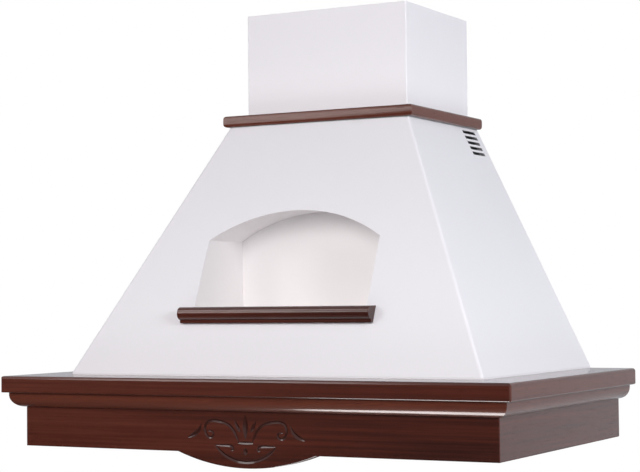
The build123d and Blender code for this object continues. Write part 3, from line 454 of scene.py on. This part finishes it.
def smooth(piece, degrees):
    deselect()
    piece.select_set(True)
    bpy.context.view_layer.objects.active = piece
    bpy.ops.object.shade_smooth_by_angle(angle=math.radians(degrees))


def give(piece, finish):
    """Puts one finish on a new piece."""
    piece.data.materials.clear()
    piece.data.materials.append(finish)


def finish_node(node, finish):
    """Puts a finish on one CAD node."""
    for holder in frame["nodes"][node].material_slots:
        holder.material = finish


def dress(slot, finish):
    """Puts a finish on every CAD node of a material slot."""
    for row in frame["record"]["subparts"]:
        if row["material_slot"] == slot:
            finish_node(row["node"], finish)


def settle(piece, name, body, slot, *nodes):
    """Names a finished piece, hands it to its body and hides the nodes that it stands for."""
    piece.name = name
    piece.data.name = name
    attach(piece, body)
    if nodes:
        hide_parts(*nodes)


class HoodColours(PropertyGroup):
    """Colours of the hood's finishes."""

    # The canopy, chimney and niche share one powder coat, given separate tones for the light each gets.
    # Each is paler at its foot and darker at its head as painted shade, and the niche's warm tint is
    # painted bounce light.
    enamel: FloatVectorProperty(
        name="Enamel", description="Powder coat at the foot of the canopy", subtype="COLOR",
        default=(0.862, 0.853, 0.888), min=0, max=1)
    enamel_painted_shade: FloatVectorProperty(
        name="Enamel shade", description="Powder coat at the head of the canopy", subtype="COLOR",
        default=(0.766, 0.755, 0.792), min=0, max=1)
    chimney: FloatVectorProperty(
        name="Chimney", description="Powder coat at the foot of the chimney", subtype="COLOR",
        default=(0.872, 0.858, 0.890), min=0, max=1)
    chimney_painted_shade: FloatVectorProperty(
        name="Chimney shade", description="Powder coat at the head of the chimney", subtype="COLOR",
        default=(0.772, 0.757, 0.794), min=0, max=1)
    niche: FloatVectorProperty(
        name="Niche", description="Warm powder coat at the foot of the niche", subtype="COLOR",
        default=(0.905, 0.882, 0.880), min=0, max=1)
    niche_painted_shade: FloatVectorProperty(
        name="Niche shade", description="Warm powder coat at the head of the niche", subtype="COLOR",
        default=(0.868, 0.845, 0.857), min=0, max=1)
    # Near-black painted shade on the canopy's inner faces
    inner_painted_shade: FloatVectorProperty(
        name="Primer", description="Dull primer on the inner face of the canopy", subtype="COLOR",
        default=(0.055, 0.056, 0.060), min=0, max=1)
    button_print: FloatVectorProperty(
        name="Button print", description="Marks on the buttons", subtype="COLOR",
        default=(0.80, 0.80, 0.78), min=0, max=1)
    wood_dark: FloatVectorProperty(
        name="Wood pores", description="Darkest grain and the pores", subtype="COLOR",
        default=(0.028, 0.0062, 0.0036), min=0, max=1)
    wood: FloatVectorProperty(
        name="Wood", description="Middle tone of the stained wood", subtype="COLOR",
        default=(0.070, 0.0135, 0.0070), min=0, max=1)
    wood_light: FloatVectorProperty(
        name="Wood light", description="Lightest grain of the stained wood", subtype="COLOR",
        default=(0.112, 0.0270, 0.0138), min=0, max=1)
    # Stain in the carving, made darker as painted shade in the cuts
    cut_stain_and_shade: FloatVectorProperty(
        name="Groove stain", description="Stain gathered in the carving", subtype="COLOR",
        default=(0.042, 0.0092, 0.0052), min=0, max=1)
    zinc: FloatVectorProperty(
        name="Zinc", description="Bright parts of zinc and galvanised steel", subtype="COLOR",
        default=(0.62, 0.64, 0.65), min=0, max=1)
    zinc_dark: FloatVectorProperty(
        name="Zinc shade", description="Dull parts of zinc and galvanised steel", subtype="COLOR",
        default=(0.44, 0.46, 0.48), min=0, max=1)
    aluminium: FloatVectorProperty(
        name="Aluminium", description="Bright parts of the filters", subtype="COLOR",
        default=(0.78, 0.79, 0.80), min=0, max=1)
    aluminium_dark: FloatVectorProperty(
        name="Aluminium shade", description="Dull parts of the filters", subtype="COLOR",
        default=(0.64, 0.65, 0.66), min=0, max=1)
    chrome: FloatVectorProperty(
        name="Chrome", description="Lamp rings", subtype="COLOR", default=(0.82, 0.83, 0.85), min=0, max=1)
    chrome_dark: FloatVectorProperty(
        name="Chrome shade", description="Handled parts of the lamp rings", subtype="COLOR",
        default=(0.72, 0.73, 0.75), min=0, max=1)
    black: FloatVectorProperty(
        name="Black plastic", description="Controls and electrics", subtype="COLOR",
        default=(0.022, 0.022, 0.024), min=0, max=1)
    grey: FloatVectorProperty(
        name="Grey plastic", description="Blower and collar", subtype="COLOR",
        default=(0.20, 0.205, 0.215), min=0, max=1)
    glass: FloatVectorProperty(
        name="Lens glass", description="Lamp lenses", subtype="COLOR",
        default=(0.93, 0.95, 0.96), min=0, max=1)
    bulb: FloatVectorProperty(
        name="Bulb glass", description="Lamp bulbs", subtype="COLOR",
        default=(0.95, 0.92, 0.85), min=0, max=1)


class HoodCarving(PropertyGroup):
    """Shape of the carved front apron."""

    swell_half: FloatProperty(
        name="Swell half-width", description="Half the width of the apron's swelling arc",
        default=0.1235, min=0.02, unit="LENGTH")
    edge_round: FloatProperty(
        name="Edge round", description="Softening of the apron's lower edge",
        default=0.0016, min=0, unit="LENGTH")
    edge_steps: IntProperty(
        name="Edge steps", description="Facets across the softened edge", default=3, min=1)
    groove_depth: FloatProperty(
        name="Groove depth", description="Depth of a cut for each unit of its half-width",
        default=0.6, min=0.1)
    groove_width: FloatProperty(
        name="Groove width", description="Width of the cuts against the drawing",
        default=1.5, min=0.1)
    corner_round: FloatProperty(
        name="Corner round", description="Softening of the apron's upright corners",
        default=0.002, min=0, unit="LENGTH")
    corner_steps: IntProperty(
        name="Corner steps", description="Facets round an upright corner", default=6, min=1)
    arc_facets: IntProperty(
        name="Arc facets", description="Facets round the swell's full circle", default=720, min=64)


class HoodFilters(PropertyGroup):
    """Expanded mesh of the grease filters."""

    long_pitch: FloatProperty(
        name="Long pitch", description="Width of one diamond", default=0.012, min=0.002, unit="LENGTH")
    short_pitch: FloatProperty(
        name="Short pitch", description="Height of one diamond", default=0.007, min=0.002, unit="LENGTH")
    strand: FloatProperty(
        name="Strand", description="Half the width of a strand", default=0.0006, min=0.0001, unit="LENGTH")
    foil: FloatProperty(
        name="Foil", description="Thickness of one layer", default=0.0007, min=0.0001, unit="LENGTH")


class HoodLamps(PropertyGroup):
    """Ribbed glass of the lamps."""

    lens_facets: IntProperty(name="Lens facets", description="Facets round a lens", default=96, min=12)
    ring_count: IntProperty(
        name="Rings", description="Slopes of the ribs from rim to centre", default=14, min=2)
    ring_width: FloatProperty(
        name="Ring width", description="Width of one slope of a rib",
        default=0.0018, min=0.0002, unit="LENGTH")
    ring_depth: FloatProperty(
        name="Ring depth", description="Depth of a rib", default=0.0007, min=0, unit="LENGTH")


class HoodMarks(PropertyGroup):
    """Marks on the push buttons."""

    height: FloatProperty(
        name="Height", description="Height of a figure", default=0.008, min=0.001, unit="LENGTH")
    sign_radius: FloatProperty(
        name="Sign radius", description="Radius of the lamp sign's disc",
        default=0.0016, min=0.0001, unit="LENGTH")
    ray_length: FloatProperty(
        name="Ray length", description="Length of the lamp sign's rays",
        default=0.002, min=0.0001, unit="LENGTH")
    ink: FloatProperty(
        name="Ink", description="Half the thickness of the print", default=0.00006, min=0, unit="LENGTH")
    rays: IntProperty(name="Rays", description="Rays round the lamp sign", default=8, min=3)


class HoodStudio(PropertyGroup):
    """Camera, floor and lamps."""

    camera_place: FloatVectorProperty(
        name="Camera place", description="Where the camera stands", subtype="TRANSLATION", unit="LENGTH",
        default=(1.3750, -2.81273, 0.11546))
    camera_yaw: FloatProperty(
        name="Camera yaw", description="Turn of the view to the left",
        default=math.radians(28.43), unit="ROTATION")
    camera_pitch: FloatProperty(
        name="Camera pitch", description="Tilt of the view upwards",
        default=math.radians(2.19), unit="ROTATION")
    camera_roll: FloatProperty(
        name="Camera roll", description="Lean of the view",
        default=math.radians(-0.60), unit="ROTATION")
    lens: FloatProperty(name="Lens", description="Focal length in millimetres", default=97.65, min=1)
    floor_level: FloatProperty(
        name="Floor level", description="Height of the floor below the cornice's top",
        default=-0.80, unit="LENGTH")
    floor_size: FloatProperty(
        name="Floor size", description="Width of the floor", default=9.0, min=1, unit="LENGTH")
    floor_glow: FloatProperty(
        name="Floor glow", description="White that the camera sees on the floor beside its own tone",
        default=0.45, min=0)
    key_power: FloatProperty(
        name="Key", description="Soft lamp in front", default=39.2, min=0, unit="POWER")
    right_power: FloatProperty(
        name="Right", description="Soft lamp in front at the right", default=32.0, min=0, unit="POWER")
    upper_power: FloatProperty(
        name="Upper", description="Soft lamp that the rounded wood mirrors",
        default=15.5, min=0, unit="POWER")
    side_power: FloatProperty(
        name="Side", description="Soft lamp at the right", default=31.5, min=0, unit="POWER")
    top_power: FloatProperty(
        name="Top", description="Lamp that the carving mirrors", default=10.5, min=0, unit="POWER")
    low_power: FloatProperty(
        name="Low", description="Lamp that the moulding mirrors", default=7.8, min=0, unit="POWER")
    back_power: FloatProperty(
        name="Back", description="Soft lamp behind at the left", default=55.0, min=0, unit="POWER")
    fill: FloatProperty(name="Fill", description="Light that comes from all round", default=0.176, min=0)
    back_gloss: FloatProperty(
        name="Back gloss", description="Brightness of the surroundings, as gloss mirrors them",
        default=0.62, min=0)
    front_gloss: FloatProperty(
        name="Front gloss", description="Brightness of the dark side, as gloss mirrors it",
        default=0.05, min=0)


class HOOD_OT_enamel(Operator):
    """Coats the canopy, the niche, the chimney and the tray"""

    bl_idname = "hood.enamel"
    bl_label = "Enamelled sheet"

    def execute(self, context):
        colours = context.scene.hood_colours
        no_side = (0, 0, 0)

        def coat(name, shade, full, node, inward):
            low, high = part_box(node)
            return white_enamel(name, shade, full, low.z, high.z, colours.inner_painted_shade, inward)

        def canopy(name, inward):
            return coat(name, colours.enamel_painted_shade, colours.enamel, "canopy_front", inward)

        dress("white_enamel", canopy("white_enamel", no_side))
        for node, inward in INWARD.items():
            finish_node(node, canopy(node + "_enamel", inward))
        # The chimney and the niche are the same coat in tones painted for their own light; the niche's
        # warmth is painted bounce light.
        cover = coat("chimney_enamel", colours.chimney_painted_shade, colours.chimney, "chimney_lower", no_side)
        finish_node("chimney_lower", cover)
        finish_node("chimney_upper", cover)
        niche = coat("niche_enamel", colours.niche_painted_shade, colours.niche, "niche_liner", no_side)
        finish_node("niche_liner", niche)
        return {"FINISHED"}


class HOOD_OT_woodwork(Operator):
    """Stains and lacquers each wooden board, with its grain along its length"""

    bl_idname = "hood.woodwork"
    bl_label = "Woodwork"

    def execute(self, context):
        colours = context.scene.hood_colours
        boards = [row["node"] for row in frame["record"]["subparts"] if row["material_slot"] == "mahogany"]
        for number, board in enumerate(boards):
            along_front = not board.endswith(("_left", "_right"))
            finish = BOARD_FINISH[board.split("_")[0]]
            finish_node(board, mahogany(colours, "mahogany_" + board, along_front, number, **finish))
        return {"FINISHED"}


class HOOD_OT_carved_apron(Operator):
    """Makes the front apron with its swell and its carved palmette, scrolls and cup"""

    bl_idname = "hood.carved_apron"
    bl_label = "Carved apron"

    def board(self, carving):
        low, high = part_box("apron_front")
        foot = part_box("apron_left")[0].z
        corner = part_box("apron_right")[1].x
        middle = (low + high) / 2
        size = high - low
        piece = block((-corner, low.y, foot), (corner, high.y, high.z))
        sag = foot - low.z
        radius = (carving.swell_half ** 2 + sag ** 2) / (2 * sag)
        deselect()
        bpy.ops.mesh.primitive_cylinder_add(
            vertices=carving.arc_facets, radius=radius, depth=size.y,
            location=(0, middle.y, low.z + radius), rotation=(math.pi / 2, 0, 0))
        swell = bpy.context.object
        apply_place()
        edit()
        bpy.ops.mesh.select_all(action="SELECT")
        bpy.ops.mesh.bisect(
            plane_co=(0, 0, foot + sag / 2), plane_no=(0, 0, 1), use_fill=True, clear_outer=True)
        leave_edit()
        combine(piece, swell, "UNION")
        edit()
        for side in (-1, 1):
            bpy.ops.mesh.select_all(action="SELECT")
            bpy.ops.mesh.bisect(
                plane_co=(side * corner, low.y, 0), plane_no=(side, 1, 0), use_fill=True, clear_outer=True)
        bpy.ops.mesh.select_all(action="SELECT")
        bpy.ops.mesh.dissolve_limited(angle_limit=math.radians(FLAT_EDGE))
        leave_edit()
        near = MILLIMETRE / 10

        def lower_arris(first, second):
            return all(abs(point.y - low.y) < near and point.z < foot + near for point in (first, second))

        pick_edges(piece, lower_arris)
        bpy.ops.mesh.bevel(offset=carving.edge_round, segments=carving.edge_steps)
        leave_edit()
        plan = block((-corner, low.y, low.z - near), (corner, high.y + size.y, high.z + near))

        def front_corner(first, second):
            return all(point.y < low.y + near for point in (first, second)) and first.x == second.x

        pick_edges(plan, front_corner)
        bpy.ops.mesh.bevel(offset=carving.corner_round, segments=carving.corner_steps)
        leave_edit()
        combine(piece, plan, "INTERSECT")
        return piece

    def cutter(self, line, side, width, depth, face):
        """A tapered V tool along a line of the drawing."""
        deselect()
        bpy.ops.curve.primitive_nurbs_path_add(rotation=(math.pi / 2, 0, 0), location=(0, face, 0))
        tool = bpy.context.object
        curve = tool.data
        curve.dimensions = "2D"
        curve.fill_mode = "NONE"
        curve.splines.clear()
        path = curve.splines.new("NURBS")
        path.points.add(len(line) - 1)
        for point, (x, z, half_width) in zip(path.points, line):
            point.co = (side * x * MILLIMETRE, z * MILLIMETRE, 0, 1)
            point.radius = half_width * width
        path.order_u = 3
        path.use_endpoint_u = True
        path.resolution_u = 6
        curve.bevel_depth = MILLIMETRE
        curve.bevel_resolution = 0
        curve.use_fill_caps = True
        bpy.ops.object.convert(target="MESH")
        tool = bpy.context.object
        tool.scale = (1, 1, depth)
        apply_place()
        return tool

    def execute(self, context):
        carving = context.scene.hood_carving
        piece = self.board(carving)
        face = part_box("apron_front")[0].y
        cuts = [(line, side) for line in (SCROLL, TAIL, SIDE_LEAF, CUP_LINE) for side in (-1, 1)]
        cuts += [(line, 1) for line in (CENTRE_LEAF, COLLAR, CUP, DROP)]
        for line, side in cuts:
            tool = self.cutter(line, side, carving.groove_width, carving.groove_depth, face)
            combine(piece, tool, "DIFFERENCE")
        smooth(piece, CARVING_CREASE)
        give(piece, bpy.data.materials["mahogany_apron_front"])
        piece.data.materials.append(groove_stain_and_shade(context.scene.hood_colours))
        swell = carving.swell_half
        # The walls of the cuts take the dark groove finish: stain with painted shade.
        for wall in piece.data.polygons:
            sunk = GROOVE_START < wall.center.y - face < GROOVE_REACH
            inside = abs(wall.center.x) < swell and wall.center.z > GROOVE_FOOT
            wall.material_index = int(sunk and inside)
        settle(piece, "carved_apron", "hood", "mahogany", "apron_front")
        return {"FINISHED"}


class HOOD_OT_filters(Operator):
    """Makes the filters' two layers of expanded mesh"""

    bl_idname = "hood.filters"
    bl_label = "Filter mesh"

    def repeat(self, piece, count, step, merged=True):
        """Repeats a piece at equal steps, with or without joining points that meet."""
        bpy.ops.object.modifier_add(type="ARRAY")
        array = piece.modifiers[-1]
        array.count = count
        array.use_relative_offset = False
        array.use_constant_offset = True
        array.constant_offset_displace = step
        array.use_merge_vertices = merged
        array.merge_threshold = MILLIMETRE / 100
        bpy.ops.object.modifier_apply(modifier=array.name)

    def lattice(self, node, mesh):
        low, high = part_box(node)
        deselect()
        bpy.ops.mesh.primitive_circle_add(
            vertices=4, radius=1, fill_type="NGON", location=(low.x, low.y, low.z + mesh.foil / 2))
        piece = bpy.context.object
        piece.scale = (mesh.long_pitch / 2, mesh.short_pitch / 2, 1)
        apply_place()
        edit()
        bpy.ops.mesh.select_all(action="SELECT")
        bpy.ops.mesh.inset(thickness=mesh.strand)
        bpy.ops.mesh.delete(type="FACE")
        leave_edit()
        columns = math.ceil((high.x - low.x) / mesh.long_pitch) + 1
        rows = math.ceil((high.y - low.y) / mesh.short_pitch) + 1
        layer = (mesh.long_pitch / 4, mesh.short_pitch / 4, high.z - low.z - mesh.foil)
        self.repeat(piece, columns, (mesh.long_pitch, 0, 0))
        self.repeat(piece, 2, (-mesh.long_pitch / 2, -mesh.short_pitch / 2, 0))
        self.repeat(piece, rows, (0, mesh.short_pitch, 0))
        self.repeat(piece, 2, layer, merged=False)
        edit()
        for corner, normal in ((low, (-1, 0, 0)), (low, (0, -1, 0)), (high, (1, 0, 0)), (high, (0, 1, 0))):
            bpy.ops.mesh.select_all(action="SELECT")
            bpy.ops.mesh.bisect(plane_co=corner, plane_no=normal, clear_outer=True)
        leave_edit()
        bpy.ops.object.modifier_add(type="SOLIDIFY")
        wall = piece.modifiers[-1]
        wall.thickness = mesh.foil
        wall.offset = 0
        bpy.ops.object.modifier_apply(modifier=wall.name)
        return piece

    def execute(self, context):
        left = self.lattice("filter_mesh_left", context.scene.hood_filters)
        give(left, bpy.data.materials["filter_aluminium"])
        bpy.ops.object.duplicate()
        right = bpy.context.object
        right.location.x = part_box("filter_mesh_right")[0].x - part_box("filter_mesh_left")[0].x
        apply_place()
        for piece, side in ((left, "left"), (right, "right")):
            node = "filter_mesh_" + side
            settle(piece, "expanded_mesh_" + side, "filter_" + side, "filter_aluminium", node)
        return {"FINISHED"}


class HOOD_OT_lenses(Operator):
    """Makes the lamps' ribbed lenses"""

    bl_idname = "hood.lenses"
    bl_label = "Lamp lenses"

    def lens(self, node, lamps):
        low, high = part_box(node)
        deselect()
        bpy.ops.mesh.primitive_cylinder_add(
            vertices=lamps.lens_facets, radius=(high.x - low.x) / 2, depth=high.z - low.z,
            location=(low + high) / 2)
        piece = bpy.context.object
        apply_place()
        edit()
        bpy.ops.mesh.select_all(action="DESELECT")
        leave_edit()
        for face in piece.data.polygons:
            face.select = face.normal.dot(DOWN) > LEVEL_FACE
        edit()
        for ring in range(lamps.ring_count):
            depth = lamps.ring_depth if ring % 2 else -lamps.ring_depth
            bpy.ops.mesh.inset(thickness=lamps.ring_width, depth=depth)
        leave_edit()
        smooth(piece, LENS_CREASE)
        return piece

    def execute(self, context):
        for side in ("left", "right"):
            piece = self.lens("lamp_lens_" + side, context.scene.hood_lamps)
            give(piece, bpy.data.materials["lamp_glass"])
            settle(piece, "ribbed_lens_" + side, "hood", "lamp_glass", "lamp_lens_" + side)
        return {"FINISHED"}


class HOOD_OT_button_marks(Operator):
    """Prints the marks on the push buttons"""

    bl_idname = "hood.button_marks"
    bl_label = "Button marks"

    def spot(self, node):
        low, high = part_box(node)
        return (low.x + high.x) / 2, (low.y + high.y) / 2, low.z

    def figure(self, node, text, marks):
        deselect()
        bpy.ops.object.text_add(location=self.spot(node), rotation=(math.pi, 0, 0))
        lettering = bpy.context.object.data
        lettering.body = text
        lettering.size = marks.height
        lettering.align_x = "CENTER"
        lettering.align_y = "CENTER"
        lettering.extrude = marks.ink
        bpy.ops.object.convert(target="MESH")
        apply_place()
        return bpy.context.object

    def lamp_sign(self, node, marks):
        """A disc with short rays, drawn out of every second facet of its rim."""
        x, y, foot = self.spot(node)
        facets = 2 * marks.rays
        deselect()
        bpy.ops.mesh.primitive_cylinder_add(
            vertices=facets, radius=marks.sign_radius, depth=2 * marks.ink, location=(x, y, foot))
        sign = bpy.context.object
        apply_place()
        edit()
        bpy.ops.mesh.select_all(action="DESELECT")
        leave_edit()
        for face in sign.data.polygons:
            facet = math.atan2(face.normal.y, face.normal.x) * facets / (2 * math.pi)
            on_rim = abs(face.normal.z) < LEVEL_FACE
            face.select = on_rim and math.floor(facet) % 2 == 0
        edit()
        bpy.ops.mesh.extrude_faces_move(TRANSFORM_OT_shrink_fatten={"value": marks.ray_length})
        leave_edit()
        return sign

    def execute(self, context):
        marks = context.scene.hood_marks
        colours = context.scene.hood_colours
        ink = moulded_plastic("button_print", colours.button_print)
        signs = {node: self.figure(node, text, marks) for node, text in BUTTON_MARKS.items()}
        signs["button_light"] = self.lamp_sign("button_light", marks)
        for node, sign in signs.items():
            give(sign, ink)
            settle(sign, node + "_mark", node, "dark_plastic")
        return {"FINISHED"}


class HOOD_OT_hidden_pieces(Operator):
    """Finishes the filters, lamps, controls, blower, collar, electrics and screws"""

    bl_idname = "hood.hidden_pieces"
    bl_label = "Hidden pieces"

    def execute(self, context):
        colours = context.scene.hood_colours
        dress("galvanised", galvanised_sheet(colours))
        dress("filter_aluminium", rolled_aluminium(colours))
        dress("dark_plastic", moulded_plastic("dark_plastic", colours.black))
        dress("grey_plastic", moulded_plastic("grey_plastic", colours.grey))
        dress("zinc", zinc_plate(colours))
        dress("lamp_chrome", chrome_plate(colours))
        dress("lamp_glass", frosted_glass("lamp_glass", colours.glass, frost=0.12))
        dress("bulb_glass", frosted_glass("bulb_glass", colours.bulb, frost=0.30))
        return {"FINISHED"}


class HOOD_OT_studio(Operator):
    """Sets the camera, the pale floor, the soft lamps and the white surroundings"""

    bl_idname = "hood.studio"
    bl_label = "Studio"

    def camera(self, scene, studio):
        turn = (
            Matrix.Rotation(studio.camera_yaw, 3, "Z")
            @ Matrix.Rotation(math.pi / 2 + studio.camera_pitch, 3, "X")
            @ Matrix.Rotation(studio.camera_roll, 3, "Z")
        )
        bpy.ops.object.camera_add(location=studio.camera_place, rotation=turn.to_euler())
        scene.camera = bpy.context.object
        scene.camera.data.lens = studio.lens

    def floor(self, studio):
        deselect()
        bpy.ops.mesh.primitive_plane_add(size=studio.floor_size, location=(0, 0, studio.floor_level))
        floor = bpy.context.object
        floor.name = "floor"
        make = shader("floor")
        place = make.place()
        speck = make.noise(place, scale=120.0)
        card = make.node("ShaderNodeBsdfDiffuse", {}, {"Color": make.mix(speck, PAPER_SPECK, PAPER)})
        distance = make.node("ShaderNodeVectorMath", {"operation": "LENGTH"}, {0: place}, "Value")
        fade = make.between(distance, FADE_START * studio.floor_size, FADE_END * studio.floor_size)
        behind = make.node("ShaderNodeNewGeometry", {}, {}, "Backfacing")
        shown = (1 - fade) * (1 - behind) * (1 - make.ray("Glossy"))
        clear = make.node("ShaderNodeBsdfTransparent", {}, {})
        glow = make.node("ShaderNodeEmission", {}, {"Strength": studio.floor_glow * make.ray("Camera")})
        paper = make.node("ShaderNodeAddShader", {}, {0: card, 1: glow})
        surface = make.node("ShaderNodeMixShader", {}, {0: shown, 1: clear, 2: paper})
        make.node("ShaderNodeOutputMaterial", {}, {"Surface": surface})
        give(floor, make.owner)

    def lamp(self, name, place, aim, size, power, colour):
        bpy.ops.object.light_add(type="AREA", location=place)
        lamp = bpy.context.object
        lamp.name = name
        lamp.data.shape = "ELLIPSE"
        lamp.data.size, lamp.data.size_y = size
        lamp.data.energy = power
        lamp.data.color = colour
        lamp.rotation_euler = (Vector(aim) - Vector(place)).to_track_quat("-Z", "Y").to_euler()
        return lamp

    def surroundings(self, scene, studio):
        scene.world = bpy.data.worlds.new("surroundings")
        make = Shader(scene.world)
        direction = make.node("ShaderNodeTexCoord", {}, {}, "Generated")
        dark = make.between(make.dot(direction, DARK_SIDE), low=DARK_START, high=DARK_FULL)
        camera = make.ray("Camera")
        through = make.ray("Transmission")
        mirrored = studio.back_gloss - (studio.back_gloss - studio.front_gloss) * dark
        plain = studio.fill + make.ray("Glossy") * (mirrored - studio.fill)
        seen = camera + through - camera * through
        level = plain + seen * (1 - plain)
        tint = make.mix(seen, COOL_FILL, WHITE)
        light = make.node("ShaderNodeBackground", {}, {"Color": tint, "Strength": level})
        make.node("ShaderNodeOutputWorld", {}, {"Surface": light})

    def execute(self, context):
        scene = context.scene
        studio = scene.hood_studio
        self.camera(scene, studio)
        self.floor(studio)
        middle = (0, -0.25, 0.15)
        cornice = (0.10, -0.53, -0.04)
        large = (1.3, 1.3)
        medium = (1.15, 1.15)
        small = (1.0, 1.0)
        strip = (0.8, 0.36)
        key = self.lamp("key_lamp", (0.50, -3.20, 0.90), middle, large, studio.key_power, WARM_LAMP)
        right = self.lamp("right_lamp", (2.60, -1.60, 0.90), middle, large, studio.right_power, COOL_LAMP)
        self.lamp("upper_lamp", (-1.45, -2.62, 0.92), middle, medium, studio.upper_power, WARM_LAMP)
        self.lamp("side_lamp", (2.93, 0.37, 0.77), middle, large, studio.side_power, COOL_LAMP)
        top = self.lamp("top_lamp", (-1.49, -1.88, 1.99), middle, small, studio.top_power, WARM_LAMP)
        low = self.lamp("low_lamp", (0.10, -0.54, -0.75), cornice, strip, studio.low_power, WARM_LAMP)
        back = self.lamp("back_lamp", (-2.60, 2.00, 1.00), middle, large, studio.back_power, COOL_LAMP)
        for unmirrored in (key, right, back):
            unmirrored.visible_glossy = False
        for mirrored_only in (top, low):
            mirrored_only.visible_diffuse = False
        self.surroundings(scene, studio)
        scene.view_settings.view_transform = "Standard"
        return {"FINISHED"}


class HOOD_PT_panel(Panel):
    """Lists the steps that finish the hood"""

    bl_idname = "HOOD_PT_panel"
    bl_label = "Range Hood"
    bl_space_type = "VIEW_3D"
    bl_region_type = "UI"
    bl_category = "Range Hood"

    def draw(self, context):
        for step in STEPS:
            self.layout.operator(step.bl_idname)


STEPS = (
    HOOD_OT_enamel,
    HOOD_OT_woodwork,
    HOOD_OT_carved_apron,
    HOOD_OT_hidden_pieces,
    HOOD_OT_filters,
    HOOD_OT_lenses,
    HOOD_OT_button_marks,
    HOOD_OT_studio,
)
GROUPS = {
    "hood_colours": HoodColours,
    "hood_carving": HoodCarving,
    "hood_filters": HoodFilters,
    "hood_lamps": HoodLamps,
    "hood_marks": HoodMarks,
    "hood_studio": HoodStudio,
}
CLASSES = (*GROUPS.values(), *STEPS, HOOD_PT_panel)


def register():
    for each in CLASSES:
        bpy.utils.register_class(each)
    for name, group in GROUPS.items():
        setattr(bpy.types.Scene, name, PointerProperty(type=group))


def unregister():
    for name in GROUPS:
        delattr(bpy.types.Scene, name)
    for each in reversed(CLASSES):
        bpy.utils.unregister_class(each)


def main():
    register()
    bpy.ops.hood.enamel()
    bpy.ops.hood.woodwork()
    bpy.ops.hood.carved_apron()
    bpy.ops.hood.hidden_pieces()
    bpy.ops.hood.filters()
    bpy.ops.hood.lenses()
    bpy.ops.hood.button_marks()
    bpy.ops.hood.studio()


if __name__ == "__main__":
    main()
